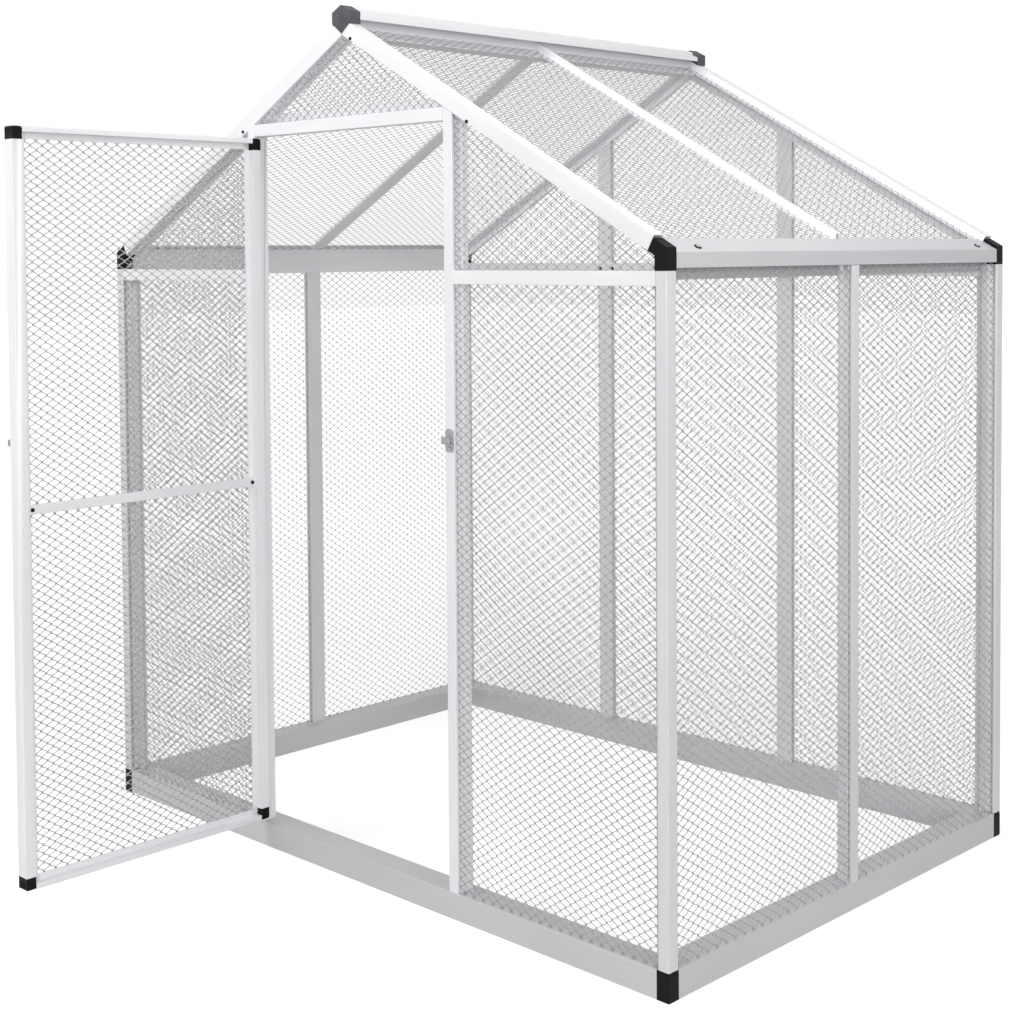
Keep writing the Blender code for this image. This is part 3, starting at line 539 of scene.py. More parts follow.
@dataclass
class ChainLinkNet:
    """A net of upright zigzag wires, each hooked into the next at its corners.

    The net is made flat: X across it, Z along its wires and Y through it. Reach is how far it goes past
    its node's sides, below and above how far past the ends, and notch the level of the corner blocks.
    """

    node: str
    body: str
    place: Matrix
    width: float
    height: float
    diamond_width: float
    diamond_height: float
    trims: tuple[Trim, ...] = ()
    reach: Pair = (0.002, 0.002)
    below: float = 0.0013
    above: float = 0.0
    notch: float = 0.0
    wire_radius: float = 0.00082
    wire_sides: int = 5
    half_depth: float = 0.00082
    hook_reach: float = 0.0006
    hook_height: float = 0.0017
    crumb: float = 0.007
    drift: float = 0.0013
    drift_sizes: tuple[tuple[str, float], ...] = (("X", 0.07), ("Z", 0.056))
    start_below: float = 1.3

    def fitted_columns(self) -> tuple[int, float]:
        """How many pairs of wires fill the width, and the diamond's width that makes them fit.

        Returns:
            The count and the width.
        """
        room = self.width + sum(self.reach) - 2 * (self.hook_reach + self.wire_radius)
        pairs = max(1, round(room / self.diamond_width))
        return pairs, room / pairs

    def make_link(self, diamond: float) -> Piece:
        """One turn of a wire: up to the right in front, round the hook, back to the left behind.

        Args:
            diamond: The fitted width of a diamond.

        Returns:
            The open tube of one turn.
        """
        reach = diamond / 4 + self.hook_reach
        rise = self.diamond_height / 2 - self.hook_height
        slant = math.hypot(2 * reach, rise) / rise
        bpy.ops.mesh.primitive_circle_add(
            vertices=self.wire_sides, radius=self.wire_radius, fill_type="NOTHING"
        )
        link = bpy.context.object
        front, back = -self.half_depth, self.half_depth
        with Bench.editing(link):
            bpy.ops.transform.resize(value=(slant, 1, 1))
            bpy.ops.transform.translate(value=(-reach, front, 0))
            for step in (
                (2 * reach, 0, rise), (0, back - front, self.hook_height),
                (-2 * reach, 0, rise), (0, front - back, self.hook_height),
            ):
                bpy.ops.mesh.extrude_region_move(TRANSFORM_OT_translate={"value": step})
        return link

    def repeat(self, piece: Piece, count: int, step: Triple, weld: bool = False) -> None:
        """Adds an Array modifier.

        Args:
            piece: What is repeated.
            count: How often.
            step: How far each copy moves.
            weld: Whether copies join end to end.
        """
        array = piece.modifiers.new("repeat", "ARRAY")
        array.use_relative_offset = False
        array.use_constant_offset = True
        array.constant_offset_displace = step
        array.count = count
        array.use_merge_vertices = weld
        array.merge_threshold = 0.00001

    def trim(self, piece: Piece) -> None:
        """Cuts off what lies beyond the net's ends and its slanted cuts, and closes the cut wires.

        Args:
            piece: The net.
        """
        floor = (Z_AXIS * -self.below, -Z_AXIS)
        ceiling = (Z_AXIS * (self.height + self.above), Z_AXIS)
        with Bench.editing(piece):
            for point, outward in (floor, ceiling, *self.trims):
                bpy.ops.mesh.select_all(action="SELECT")
                bpy.ops.mesh.bisect(plane_co=point, plane_no=outward, use_fill=True, clear_outer=True)

    def drop_crumbs(self, piece: Piece) -> None:
        """Deletes the loose bits of wire that a slanted cut leaves.

        Args:
            piece: The net.
        """
        shape = bmesh.new()
        shape.from_mesh(piece.data)
        left = set(shape.verts)
        while left:
            island = [left.pop()]
            for corner in island:
                for link in corner.link_edges:
                    other = link.other_vert(corner)
                    if other in left:
                        left.discard(other)
                        island.append(other)
            heights = [corner.co.z for corner in island]
            spans = [corner.co.x for corner in island]
            if max(max(heights) - min(heights), max(spans) - min(spans)) < self.crumb:
                bmesh.ops.delete(shape, geom=island, context="VERTS")
        shape.to_mesh(piece.data)
        shape.free()

    def at_block(self, face: Face) -> bool:
        """Whether a face reaches past the node above the notch, where a corner block is."""
        middle = face.calc_center_median()
        return not 0 <= middle.x <= self.width and middle.z > self.notch

    def clear_blocks(self, piece: Piece) -> None:
        """Takes away the wire that would be inside the corner blocks.

        Args:
            piece: The net.
        """
        with Bench.editing(piece):
            Bench.score([(X_AXIS, 0), (X_AXIS, self.width), (Z_AXIS, self.notch)])
            Bench.pick_faces(piece, self.at_block)
            bpy.ops.mesh.delete(type="FACE")
            bpy.ops.mesh.select_all(action="SELECT")
            bpy.ops.mesh.fill_holes(sides=0)

    def let_drift(self, piece: Piece) -> None:
        """Lets the diamonds wander a little in the net's plane, as a stretched net does.

        Args:
            piece: The net.
        """
        for direction, size in self.drift_sizes:
            cloud = bpy.data.textures.new(f"{self.node}_drift", "CLOUDS")
            cloud.noise_scale = size
            wander = piece.modifiers.new("drift", "DISPLACE")
            wander.texture = cloud
            wander.texture_coords = "LOCAL"
            wander.direction = direction
            wander.strength = self.drift
            wander.mid_level = 0.5
        Bench.apply_modifiers(piece)

    def build(self, finish: Material) -> Piece:
        """Makes the net and puts it in place of its node.

        Args:
            finish: The wire's material.

        Returns:
            The net.
        """
        pairs, diamond = self.fitted_columns()
        turns = math.ceil(self.height / self.diamond_height) + 2
        net = self.make_link(diamond)
        net.name = self.node.replace("net_", "wire_net_")
        self.repeat(net, turns, (0, 0, self.diamond_height), weld=True)
        self.repeat(net, 2, (diamond / 2, 0, self.diamond_height / 2))
        self.repeat(net, pairs, (diamond, 0, 0))
        Bench.apply_modifiers(net)
        first = self.hook_reach + self.wire_radius + diamond / 4 - self.reach[0]
        Bench.settle(net, Matrix.Translation((first, 0, -self.start_below * self.diamond_height)))
        self.trim(net)
        if self.notch:
            self.clear_blocks(net)
        self.drop_crumbs(net)
        self.let_drift(net)
        Bench.settle(net, self.place)
        with Bench.editing(net):
            bpy.ops.mesh.normals_make_consistent(inside=False)
        net.data.shade_smooth()
        Bench.hand_over(net, self.body, "galvanised_wire", finish)
        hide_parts(self.node)
        return net


@dataclass
class NetWork:
    """Every net, each with the diamond that the photograph shows there, and finer wire further back."""

    front_diamond: Pair = (0.0263, 0.01845)
    side_diamond: Pair = (0.0286, 0.0189)
    door_diamond: Pair = (0.0270, 0.0184)
    roof_diamond: Pair = (0.0286, 0.0189)
    in_groove: float = 0.002
    at_post: float = 0.0065
    to_frame: float = 0.003
    block_from: float = 1.3445
    wire_radii: tuple[tuple[str, float], ...] = (
        ("net_rear", 0.00072), ("net_left", 0.00066), ("net_roof", 0.00056), ("net_door", 0.00098),
    )

    def upright_net(self, node: str, body: str, diamond: Pair,
                    trims: tuple[Trim, ...] = (), post: int = 0) -> ChainLinkNet:
        """A net that stands in the place of an upright node.

        Args:
            node: The frame's node.
            body: The body that it rides on.
            diamond: The diamond's width and height.
            trims: Slanted cuts, on the flat net.
            post: Which end is at a corner post: -1 the start, 1 the end, and 0 neither.

        Returns:
            The net, not yet built.
        """
        low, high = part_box(node)
        size, middle = high - low, (low + high) / 2
        if size.x > size.y:
            place = Matrix.Translation((low.x, middle.y, low.z))
            width = size.x
        else:
            place = Matrix.Translation((middle.x, low.y, low.z)) @ Matrix.Rotation(math.pi / 2, 4, "Z")
            width = size.y
        reach = tuple(self.at_post if post == end else self.in_groove for end in (-1, 1))
        notch = self.block_from - low.z if post else 0.0
        return ChainLinkNet(node, body, place, width, size.z, *diamond, trims, reach, notch=notch)

    def gable_net(self, node: str, high_at: float) -> ChainLinkNet:
        """An upright net whose top follows the roof.

        Args:
            node: The frame's node.
            high_at: Where its top is highest, as a share of its width.

        Returns:
            The net, not yet built.
        """
        low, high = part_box(node)
        peak = Vector(((high.x - low.x) * high_at, 0, high.z - low.z))
        rising = Vector((-math.sin(ROOF_PITCH), 0, math.cos(ROOF_PITCH)))
        falling = Vector((math.sin(ROOF_PITCH), 0, math.cos(ROOF_PITCH)))
        trims, post = {
            1.0: (((peak, rising),), -1),
            0.5: (((peak, rising), (peak, falling)), 0),
            0.0: (((peak, falling),), 1),
        }[high_at]
        return self.upright_net(node, "frame", self.front_diamond, trims, post)

    def roof_net(self, node: str, side: int) -> ChainLinkNet:
        """A net that lies under a roof slope, with its wires running up the slope.

        Args:
            node: The frame's node.
            side: 1 on the right slope and -1 on the left.

        Returns:
            The net, not yet built.
        """
        low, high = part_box(node)
        size, middle = high - low, (low + high) / 2
        uphill = Vector((-side * math.cos(ROOF_PITCH), 0, math.sin(ROOF_PITCH)))
        through = uphill.cross(Y_AXIS)
        rise = size.z - size.x * math.tan(ROOF_PITCH)
        thickness = rise * math.cos(ROOF_PITCH) / math.cos(2 * ROOF_PITCH)
        length = (size.x - abs(thickness) * math.sin(ROOF_PITCH)) / math.cos(ROOF_PITCH)
        corner = middle - uphill * length / 2 - Y_AXIS * size.y / 2
        place = Matrix.Translation(corner) @ Matrix((Y_AXIS, through, uphill)).transposed().to_4x4()
        to_frame = self.to_frame
        return ChainLinkNet(
            node, "frame", place, size.y, length, *self.roof_diamond,
            reach=(to_frame, to_frame), below=to_frame, above=to_frame / 3,
        )

    def inner_nets(self) -> list[ChainLinkNet]:
        """The gable's net over the header and the door's net, which reach to the bars round them.

        Returns:
            The two nets, not yet built.
        """
        gable = self.gable_net("net_gable_front", 0.5)
        gable.reach, gable.below = (0.0, 0.0), self.to_frame
        door = self.upright_net("net_door", "door", self.door_diamond)
        door.reach, door.below, door.above = (self.to_frame, self.to_frame), self.to_frame, self.to_frame
        return [gable, door]

    def plan(self) -> list[ChainLinkNet]:
        """The nets in the order in which they are made.

        Returns:
            The nets, not yet built.
        """
        nets = [
            self.gable_net("net_front_left", 1.0),
            self.gable_net("net_front_right", 0.0),
            self.gable_net("net_rear_left", 1.0),
            self.gable_net("net_rear_middle", 0.5),
            self.gable_net("net_rear_right", 0.0),
            *self.inner_nets(),
        ]
        for end, post in (("front", -1), ("rear", 1)):
            for name, side in (("left", -1), ("right", 1)):
                node = f"net_{name}_{end}"
                nets.append(self.upright_net(node, "frame", self.side_diamond, post=post))
                nets.append(self.roof_net(f"net_roof_{name}_{end}", side))
        return nets

    def build(self, finish: Material) -> None:
        """Makes every net.

        Args:
            finish: The wire's material.
        """
        for net in self.plan():
            for start, radius in self.wire_radii:
                if net.node.startswith(start):
                    net.wire_radius = net.half_depth = radius
            net.build(finish)


@dataclass(frozen=True)
class BarLook:
    """How one kind of bar looks: its finish, how round its broad corners are and the record's slot."""

    colour: Colour
    grain: Grain
    radius: float
    slot: str


@dataclass
class Finishes:
    """The colours of the aviary's metals, plastic and wire."""

    bright: Colour = shade(246, 246, 248)
    satin: Colour = shade(236, 236, 238)
    post: Colour = shade(228, 228, 230)
    # A grey darker than the bars above, for the base rails at the bottom.
    base_rail_grey: Colour = shade(212, 212, 214)
    # A darker grey for the right eave beam only: painted shade that tones down its face where the lamps light
    # it.
    eave_painted_shade_grey: Colour = shade(206, 206, 209)
    black: Colour = shade(16, 16, 18)
    # A grey lighter than black for the two ridge caps: a painted highlight, the shine of light on their
    # fronts.
    painted_highlight_grey: Colour = shade(84, 84, 90)
    zinc: Colour = shade(176, 176, 178)
    wire_dark: Colour = shade(158, 159, 161)
    wire_light: Colour = shade(184, 185, 187)

    def bars(self) -> dict[str, BarLook]:
        """The look of each kind of bar, by the start of its node's name.

        Returns:
            The looks.
        """
        upright, along, across = Grain.UPRIGHT, Grain.LENGTHWISE, Grain.ACROSS
        plain = {
            "corner_post": (self.post, upright, 0.0020),
            "side_post": (self.post, upright, 0.0012),
            "rear_bar": (self.satin, upright, 0.0012),
            # One aluminium in two tones: the right eave beam darker, painted shade on its lit face, and the
            # left one lighter for its shaded inner face.
            "eave_beam_left": (self.satin, along, 0.0014),
            "eave_beam_right": (self.eave_painted_shade_grey, along, 0.0014),
        }
        # The base rails take the darker grey.
        for wall, grain in (("front", across), ("rear", across), ("left", along), ("right", along)):
            plain[f"base_rail_{wall}"] = (self.base_rail_grey, grain, 0.0014)
        bright = {
            "door_jamb": (self.bright, upright, 0.0012),
            "door_stile": (self.bright, upright, 0.0024),
            "door_rail": (self.bright, along, 0.0015),
            "header": (self.bright, across, 0.0015),
            "front_tie": (self.bright, across, 0.0010),
            "rear_tie": (self.satin, across, 0.0010),
            "ridge_beam": (self.satin, along, 0.0006),
        }
        for side, grain in (("left", Grain.DOWN_LEFT), ("right", Grain.DOWN_RIGHT)):
            for rafter in ("gable_rafter_front", "gable_rafter_rear", "middle_rafter"):
                bright[f"{rafter}_{side}"] = (self.bright, grain, 0.0012)
        return {
            start: BarLook(*row, slot)
            for slot, rows in (("aluminium", plain), ("bright_aluminium", bright))
            for start, row in rows.items()
        }


@dataclass
class RibbedCap:
    """A black end cap of a door stile: a plain rim, upright ribs above it and a chamfered top."""

    depth: float = 0.032
    width: float = 0.022
    height: float = 0.027
    rim: float = 0.0045
    rib: float = 0.0022
    groove: float = 0.0005
    groove_side: float = 0.0002
    chamfer: float = 0.0030
    corner: float = 0.0012

    @property
    def band(self) -> float:
        """The level where the ribs end below the top band."""
        return self.height - self.chamfer - self.corner

    def levels(self) -> list[tuple[Vector, float]]:
        """The cuts that part the sides into a rim, a top band and upright strips a rib wide."""
        cuts = [(Z_AXIS, self.rim), (Z_AXIS, self.band)]
        for axis, size in ((X_AXIS, self.depth), (Y_AXIS, self.width)):
            strips = int((size / 2 - self.rib / 2 - self.corner) / self.rib)
            cuts += [(axis, (step + 0.5) * self.rib) for step in range(-strips - 1, strips + 1)]
        return cuts

    def sunk(self, face: Face) -> bool:
        """Whether a face is every other strip of a side, between the rim and the top band.

        Args:
            face: The face.

        Returns:
            True where the face becomes a groove.
        """
        middle = face.calc_center_median()
        at_end = abs(face.normal.x) > 0.99
        across, size = (middle.y, self.width) if at_end else (middle.x, self.depth)
        if not (at_end or abs(face.normal.y) > 0.99) or not self.rim < middle.z < self.band:
            return False
        inside = abs(across) + self.rib / 2 < size / 2 - self.corner * 1.5
        return inside and round(across / self.rib) % 2 == 1

    def model(self) -> Piece:
        """The cap at the origin, its rim on the XY plane.

        Returns:
            The cap.
        """
        half = Vector((self.depth / 2, self.width / 2, 0))
        piece = Bench.block(-half, half + Z_AXIS * self.height, "ribbed_cap")
        Bench.round_edges(
            piece, self.chamfer, 1, lambda edge: min(end.co.z for end in edge.verts) > self.height / 2
        )
        Bench.round_edges(
            piece, self.corner, 2, lambda edge: max(end.co.z for end in edge.verts) > self.height / 2
            and edge.calc_face_angle_signed() > 0.3,
        )
        with Bench.editing(piece):
            Bench.score(self.levels())
        with Bench.editing(piece):
            Bench.pick_faces(piece, self.sunk)
            bpy.ops.mesh.inset(thickness=self.groove_side, depth=-self.groove, use_individual=True)
        return piece


@dataclass
class Bars:
    """The aluminium bars: each is the frame's own bar with its broad corners rounded.

    The door's stiles are cut back at both ends, where their ribbed caps sit.
    """

    finishes: Finishes
    least_length: float = 0.1
    segments: int = 3
    stile_box: float = 0.022
    stile_depth: float = 0.032
    stile_flange: float = 0.013
    cut_past: float = 0.001

    def broad_corner(self, radius: float) -> EdgeTest:
        """A test for the long outward corners between broad faces.

        Args:
            radius: The rounding's radius.

        Returns:
            The test.
        """
        def test(edge: Edge) -> bool:
            """Whether this edge is such a corner."""
            length = edge.calc_length()
            if length < self.least_length or edge.calc_face_angle_signed() < 0.4:
                return False
            return min(face.calc_area() for face in edge.link_faces) / length > 2.5 * radius

        return test

    def stile_room(self, node: str) -> tuple[Vector, Vector]:
        """The room of a stile's box, without its flange and its hinge bead.

        Args:
            node: The stile's node.

        Returns:
            The lowest and the highest corner.
        """
        low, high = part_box(node)
        start = low.y + (self.stile_flange if node.endswith("hinge") else 0.0)
        corner = Vector((high.x - self.stile_depth, start, low.z))
        return corner, Vector((high.x, start + self.stile_box, high.z))

    def put_caps(self, bar: Piece, node: str, cap: RibbedCap, model: Piece,
                 plastic: Material) -> None:
        """Cuts a stile back and puts its two caps in the freed room.

        Args:
            bar: The stile.
            node: The stile's node.
            cap: The cap's sizes.
            model: The cap that is copied.
            plastic: The caps' finish.
        """
        low, high = self.stile_room(node)
        past = self.cut_past
        cut_low = low - Y_AXIS * past * node.endswith("free")
        cut_high = high + X_AXIS * past + Y_AXIS * past * node.endswith("hinge")
        middle = (low + high) / 2
        for end, level, floor, ceiling, turn in (
            ("bottom", low.z + cap.height, low.z - past, low.z + cap.height, math.pi),
            ("top", high.z - cap.height, high.z - cap.height, high.z + past, 0.0),
        ):
            cut_low.z, cut_high.z = floor, ceiling
            Bench.cut_away(bar, cut_low, cut_high)
            piece = Bench.put(f"{node}_cap_{end}", model.data.copy())
            place = Matrix.Translation((middle.x, middle.y, level)) @ Matrix.Rotation(turn, 4, "X")
            Bench.settle(piece, place)
            Bench.hand_over(piece, "door", "black_plastic", plastic)

    def build(self, nodes: dict[str, Piece], plastic: Material) -> None:
        """Makes every bar.

        Args:
            nodes: The frame's nodes by name.
            plastic: The finish of the stiles' caps.
        """
        looks = self.finishes.bars()
        finishes = {
            start: BrushedAluminium(f"{start}_aluminium", look.colour, look.grain).make()
            for start, look in looks.items()
        }
        cap = RibbedCap()
        model = cap.model()
        for node in sorted(nodes):
            start = next((start for start in looks if node.startswith(start)), None)
            if start is None:
                continue
            look = looks[start]
            bar = Bench.copy_of(node, f"{node}_bar")
            if start == "door_stile":
                self.put_caps(bar, node, cap, model, plastic)
            Bench.round_edges(bar, look.radius, self.segments, self.broad_corner(look.radius))
            body = "door" if start in ("door_stile", "door_rail") else "frame"
            Bench.hand_over(bar, body, look.slot, finishes[start])
            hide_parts(node)
        bpy.data.objects.remove(model)


@dataclass
class Blocks:
    """The black corner blocks and caps, with the softened edges of a moulding."""

    radius: float = 0.0011
    least_length: float = 0.003

    def outer_edge(self, edge: Edge) -> bool:
        """Whether an edge points outwards and is long enough to be softened."""
        return edge.calc_length() > self.least_length and edge.calc_face_angle_signed() > 0.3

    def build(self, nodes: dict[str, Piece], plastic: Material,
              ridge_highlight_plastic: Material) -> None:
        """Makes every block and cap.

        Args:
            nodes: The frame's nodes by name.
            plastic: Their finish.
            ridge_highlight_plastic: The finish of the two ridge caps, a grey lighter than black that paints
                in the highlight on their fronts.
        """
        for node in sorted(nodes):
            if "_cap_" not in node:
                continue
            block = Bench.copy_of(node, f"{node}_moulding")
            Bench.round_edges(block, self.radius, 2, self.outer_edge)
            # The ridge caps take the lighter grey, a painted highlight on black plastic.
            finish = ridge_highlight_plastic if node.startswith("ridge") else plastic
            Bench.hand_over(block, "frame", "black_plastic", finish)
            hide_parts(node)


@dataclass
class Latch:
    """The barrel bolt of the door: the keeper on the jamb, the sleeve and the sliding bolt."""

    sheet_radius: float = 0.0006
    tab_radius: float = 0.0085
    sheet_most: float = 0.003

    def tab_corner(self, edge: Edge) -> bool:
        """Whether an edge of the keeper is one of the four corners of its tabs.

        Args:
            edge: The edge.

        Returns:
            True for an edge through the sheet at the keeper's top or bottom.
        """
        low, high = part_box("bolt_keeper")
        first, last = (end.co for end in edge.verts)
        through = abs(first.y - last.y) > 0.9 * edge.calc_length() and edge.calc_length() < self.sheet_most
        return through and min(first.z - low.z, high.z - first.z) < 0.0005

    def sharp(self, edge: Edge) -> bool:
        """Whether an edge points outwards and is long enough to be broken."""
        return edge.calc_length() > 0.002 and edge.calc_face_angle_signed() > 0.6

    def rod_end(self, edge: Edge) -> bool:
        """Whether an edge runs round an end of the bolt or of its knob."""
        return edge.calc_face_angle_signed() > 1.0

    def build(self, steel: Material) -> None:
        """Makes the three pieces.

        Args:
            steel: Their finish.
        """
        keeper = Bench.copy_of("bolt_keeper", "keeper_strap")
        Bench.round_edges(keeper, self.tab_radius, 6, self.tab_corner)
        Bench.round_edges(keeper, self.sheet_radius, 2, self.sharp)
        sleeve = Bench.copy_of("bolt_sleeve", "bolt_barrel")
        Bench.round_edges(sleeve, self.sheet_radius, 2, self.sharp)
        rod = Bench.copy_of("bolt", "bolt_rod")
        Bench.round_edges(rod, self.sheet_radius, 3, self.rod_end)
        for piece, body, node in (
            (keeper, "frame", "bolt_keeper"), (sleeve, "door", "bolt_sleeve"), (rod, "bolt", "bolt"),
        ):
            Bench.hand_over(piece, body, "zinc_steel", steel)
            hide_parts(node)


@dataclass(frozen=True)
class Screw:
    """A screw's head or a washer: a low round form with a broken rim, and a slot or none."""

    radius: float
    height: float
    rim: float
    slot: float = 0.0
    sides: int = 20

    def on_slot(self, face: Face) -> bool:
        """Whether a face is the part of the top that the slot takes."""
        middle = face.calc_center_median()
        return face.normal.z > 0.9 and abs(middle.y) < self.slot / 2 and abs(middle.x) < self.slot_half()

    def slot_half(self) -> float:
        """Half the slot's length."""
        return (self.radius - self.rim) * 0.85

    def model(self) -> Piece:
        """The head, standing on the XY plane, with its slot sunk into the top.

        Returns:
            The head.
        """
        Bench.clear()
        bpy.ops.mesh.primitive_cylinder_add(
            vertices=self.sides, radius=self.radius, depth=self.height, location=(0, 0, self.height / 2)
        )
        head = bpy.context.object
        bpy.ops.object.transform_apply(location=True, rotation=True, scale=True)
        Bench.round_edges(
            head, self.rim, 3, lambda edge: min(end.co.z for end in edge.verts) > self.height * 0.9
        )
        if self.slot:
            side, end = self.slot / 2, self.slot_half()
            with Bench.editing(head):
                Bench.score([(Y_AXIS, -side), (Y_AXIS, side), (X_AXIS, -end), (X_AXIS, end)])
                Bench.pick_faces(head, self.on_slot)
                bpy.ops.mesh.inset(thickness=0.0001, depth=-self.height * 0.4)
        return head


@dataclass
class Fasteners:
    """Every screw that shows: on the gable, the rear tie, the eaves, the door's rail and the keeper.

    Places hold a screw's coordinates in the plane that it sits on, and then its slot's turn.
    """

    black: Material
    steel: Material
    front_plane: float = -0.006
    gable: tuple[Triple, ...] = ((-0.3584, 1.6640, 0.9), (0.3860, 1.6440, -0.4), (0.0285, 1.8430, 0.3))
    tie_plane: float = 1.1877
    tie_level: float = 1.3337
    tie_across: tuple[float, ...] = (-0.309, -0.2644, 0.2644, 0.309)
    eave_across: float = 0.885
    eave_level: float = 1.38826
    eave_along: tuple[float, ...] = (0.104, 1.136)
    eave_turn: float = 0.4
    washer_height: float = 0.0016
    rail_level: float = 0.859
    rail_along: tuple[float, ...] = (-0.6040, -0.0470)
    rail_turn: float = 0.5
    keeper_across: float = 0.329
    keeper_proud: float = 0.0023
    keeper_tabs: tuple[Pair, ...] = ((1.0133, 1.57), (0.9807, 1.1))

    def eave_places(self, raised: float) -> list[Place]:
        """Places on the sloped tops of the eave beams.

        Args:
            raised: How far above the beam.

        Returns:
            The places.
        """
        places = []
        for side in (-1, 1):
            outward = Vector((side * math.sin(ROOF_PITCH), 0, math.cos(ROOF_PITCH)))
            for along in self.eave_along:
                point = Vector((side * self.eave_across, along, self.eave_level))
                places.append((point + outward * raised, outward, self.eave_turn))
        return places

    def scatter(self, name: str, body: str, screw: Screw, metal: bool,
                places: list[Place]) -> None:
        """Copies a screw to its places and joins the copies.

        Args:
            name: The group's name.
            body: The body that it rides on.
            screw: The screw.
            metal: Whether it is bright steel and not black.
            places: Each place's point on the surface, the outward direction and the slot's turn.
        """
        first = screw.model()
        copies = []
        for point, outward, turn in places:
            copy = Bench.put(name, first.data.copy())
            stand = outward.to_track_quat("Z", "Y").to_matrix().to_4x4()
            Bench.settle(copy, Matrix.Translation(point) @ stand @ Matrix.Rotation(turn, 4, "Z"))
            copies.append(copy)
        bpy.data.objects.remove(first)
        Bench.take(copies[0])
        for copy in copies:
            copy.select_set(True)
        bpy.ops.object.join()
        copies[0].name = name
        slot, finish = ("zinc_steel", self.steel) if metal else ("black_plastic", self.black)
        Bench.hand_over(copies[0], body, slot, finish)

    def build(self) -> None:
        """Makes every group of screws."""
        forward = -Y_AXIS
        gable = [(Vector((x, self.front_plane, z)), forward, turn) for x, z, turn in self.gable]
        head = Screw(radius=0.0036, height=0.0022, rim=0.0008, slot=0.0012)
        self.scatter("gable_screws", "frame", head, False, gable)
        tie = [(Vector((x, self.tie_plane, self.tie_level)), forward, x) for x in self.tie_across]
        head = Screw(radius=0.0045, height=0.0030, rim=0.0010, slot=0.0014)
        self.scatter("tie_bolts", "frame", head, False, tie)
        # Black washers under the eave screws: their dark ring is painted shade, standing for the shadowed rim
        # round each bright head.
        washer = Screw(radius=0.0076, height=self.washer_height, rim=0.0005)
        self.scatter("eave_washers", "frame", washer, False, self.eave_places(0.0))
        head = Screw(radius=0.0046, height=0.0024, rim=0.0012, slot=0.0011)
        self.scatter("eave_screws", "frame", head, True, self.eave_places(self.washer_height))
        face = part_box("door_rail_middle")[1].x
        rail = [(Vector((face, y, self.rail_level)), X_AXIS, self.rail_turn) for y in self.rail_along]
        head = Screw(radius=0.0042, height=0.0024, rim=0.0009, slot=0.0013)
        self.scatter("rail_screws", "door", head, False, rail)
        sheet = self.front_plane - self.keeper_proud
        tabs = [(Vector((self.keeper_across, sheet, z)), forward, turn) for z, turn in self.keeper_tabs]
        head = Screw(radius=0.0040, height=0.0018, rim=0.0008, slot=0.0012)
        self.scatter("keeper_screws", "frame", head, True, tabs)


@dataclass(frozen=True)
class Lamp:
    """A square soft lamp: its power in watts, its side, where it hangs and the point that it faces."""

    name: str
    power: float
    side: float
    place: Triple
    target: Triple

    def hang(self) -> None:
        """Hangs the lamp, unseen by the camera."""
        data = bpy.data.lights.new(self.name, "AREA")
        data.shape, data.size, data.energy = "SQUARE", self.side, self.power
        lamp = Bench.put(self.name, data)
        lamp.location = self.place
        towards = Vector(self.target) - Vector(self.place)
        lamp.rotation_euler = towards.to_track_quat("-Z", "Y").to_euler()
        lamp.visible_camera = False


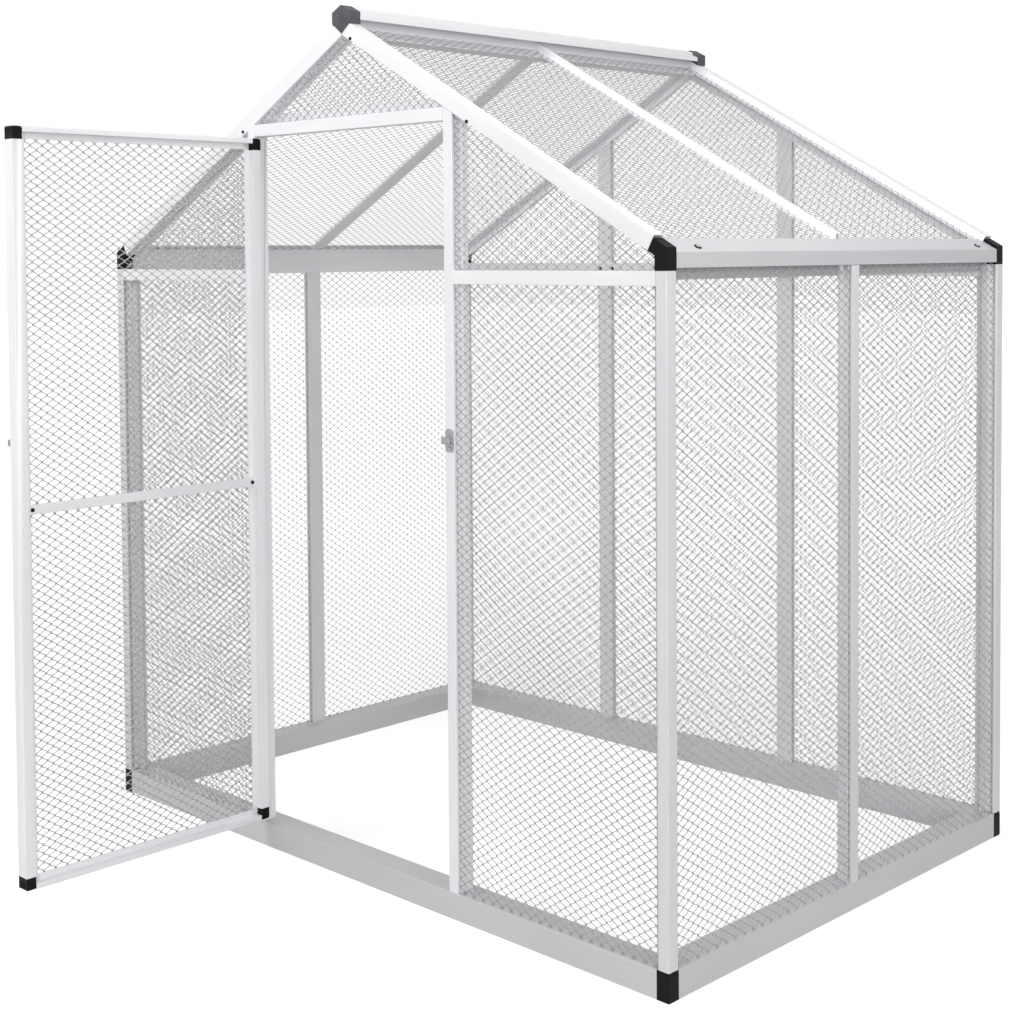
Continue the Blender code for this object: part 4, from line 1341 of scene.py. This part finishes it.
@dataclass
class Studio:
    """The white studio: floor, world, lamps and the camera at the photograph's angle."""

    camera_place: Triple = (2.8098, -2.3556, 1.3801)
    camera_yaw: float = 44.393
    camera_pitch: float = -2.39
    camera_roll: float = -0.405
    focal_pixels: float = 1674.0
    shift_up: float = -0.185
    floor_half: float = 30.0
    floor_share: float = 0.5
    floor_roughness: float = 0.9
    floor_glow: Pair = (0.69, 0.83)
    glow_reach: Pair = (1.8, 5.0)
    ambient: float = 0.40
    lamps: tuple[Lamp, ...] = (
        Lamp("key_lamp", 50.0, 1.8, (-0.9, -2.3, 3.2), (0.0, 0.3, 1.0)),
        Lamp("side_lamp", 28.0, 1.2, (1.9, 0.1, 3.1), (-0.2, 0.4, 1.2)),
        Lamp("fill_lamp", 225.0, 3.0, (6.4, -5.6, 1.8), (-0.2, 0.4, 1.2)),
    )

    def place_camera(self) -> None:
        """Sets the camera where the photograph was taken from."""
        yaw, pitch = math.radians(self.camera_yaw), math.radians(self.camera_pitch)
        forward = Vector((-math.sin(yaw) * math.cos(pitch), math.cos(yaw) * math.cos(pitch), math.sin(pitch)))
        right = Vector((math.cos(yaw), math.sin(yaw), 0))
        turn = Matrix.Rotation(math.radians(self.camera_roll), 3, -forward)
        axes = Matrix((turn @ right, turn @ right.cross(forward), -forward)).transposed()
        data = bpy.data.cameras.new("camera")
        data.sensor_width = SENSOR_WIDTH
        data.lens = self.focal_pixels / PICTURE_PIXELS * SENSOR_WIDTH
        data.shift_y = self.shift_up
        camera = Bench.put("camera", data)
        camera.matrix_world = Matrix.Translation(self.camera_place) @ axes.to_4x4()
        bpy.context.scene.camera = camera

    def make_floor(self) -> None:
        """Lays a floor that keeps soft shadows and glows paler, for camera and gloss, further away."""
        Bench.clear()
        bpy.ops.mesh.primitive_plane_add(size=2 * self.floor_half, location=(0, 0, 0))
        floor = bpy.context.object
        floor.name = "studio_floor"
        sheet = FinishSheet("floor_white")
        sheet.shader.inputs["Base Color"].default_value = (*(self.floor_share,) * 3, 1)
        sheet.shader.inputs["Roughness"].default_value = self.floor_roughness
        place = sheet.add("ShaderNodeTexCoord")
        away = sheet.add("ShaderNodeVectorMath", operation="LENGTH")
        sheet.join(place.outputs["Object"], away.inputs[0])
        (near, far), (dim, pale) = self.glow_reach, self.floor_glow
        level = sheet.add("ShaderNodeMapRange", From_Min=near, From_Max=far, To_Min=dim, To_Max=pale)
        sheet.join(away.outputs["Value"], level.inputs["Value"])
        share = sheet.add("ShaderNodeMath", operation="MULTIPLY")
        sheet.join(sheet.seen("Is Glossy Ray"), share.inputs[0])
        sheet.join(level.outputs["Result"], share.inputs[1])
        glow = sheet.add("ShaderNodeEmission")
        sheet.join(share.outputs[0], glow.inputs["Strength"])
        both = sheet.add("ShaderNodeAddShader")
        sheet.join(sheet.shader.outputs[0], both.inputs[0])
        sheet.join(glow.outputs[0], both.inputs[1])
        sheet.join(both.outputs[0], sheet.tree.nodes["Material Output"].inputs["Surface"])
        floor.data.materials.append(sheet.material)

    def light_world(self) -> None:
        """A white background for the camera and for gloss, and a plain grey light for everything else."""
        world = bpy.data.worlds.new("studio_world")
        bpy.context.scene.world = world
        world.use_nodes = True
        sheet = NodeSheet(world.node_tree)
        background = sheet.tree.nodes["Background"]
        background.inputs["Color"].default_value = (1, 1, 1, 1)
        level = sheet.add("ShaderNodeMapRange", To_Min=self.ambient, To_Max=1.0)
        sheet.join(sheet.seen("Is Glossy Ray", "Is Transmission Ray"), level.inputs["Value"])
        sheet.join(level.outputs["Result"], background.inputs["Strength"])

    def build(self) -> None:
        """Sets up the whole studio."""
        bpy.context.scene.view_settings.view_transform = "Standard"
        self.place_camera()
        self.make_floor()
        self.light_world()
        for lamp in self.lamps:
            lamp.hang()
        LOG.info("studio ready")


def plain(corners: tuple[Vector, Vector]) -> list[list[float]]:
    """Two corners as plain lists of numbers."""
    return [list(corner) for corner in corners]


def main() -> None:
    """Builds the scene around the frame."""
    logging.basicConfig(level=logging.INFO, format="%(name)s: %(message)s")
    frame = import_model()
    Bench.clear()
    Studio().build()
    finishes = Finishes()
    plastic = MouldedPlastic("cap_plastic", finishes.black).make()
    # The ridge caps' lighter grey paints in the highlight on their fronts.
    ridge_highlight_plastic = MouldedPlastic("ridge_cap_painted_highlight", finishes.painted_highlight_grey).make()
    steel = PlatedSteel("bolt_steel", finishes.zinc).make()
    Bars(finishes).build(frame["nodes"], plastic)
    Blocks().build(frame["nodes"], plastic, ridge_highlight_plastic)
    Latch().build(steel)
    Fasteners(plastic, steel).build()
    NetWork().build(GalvanisedWire("net_wire", finishes.wire_dark, finishes.wire_light).make())
    Bench.clear()


if __name__ == "__main__":
    main()
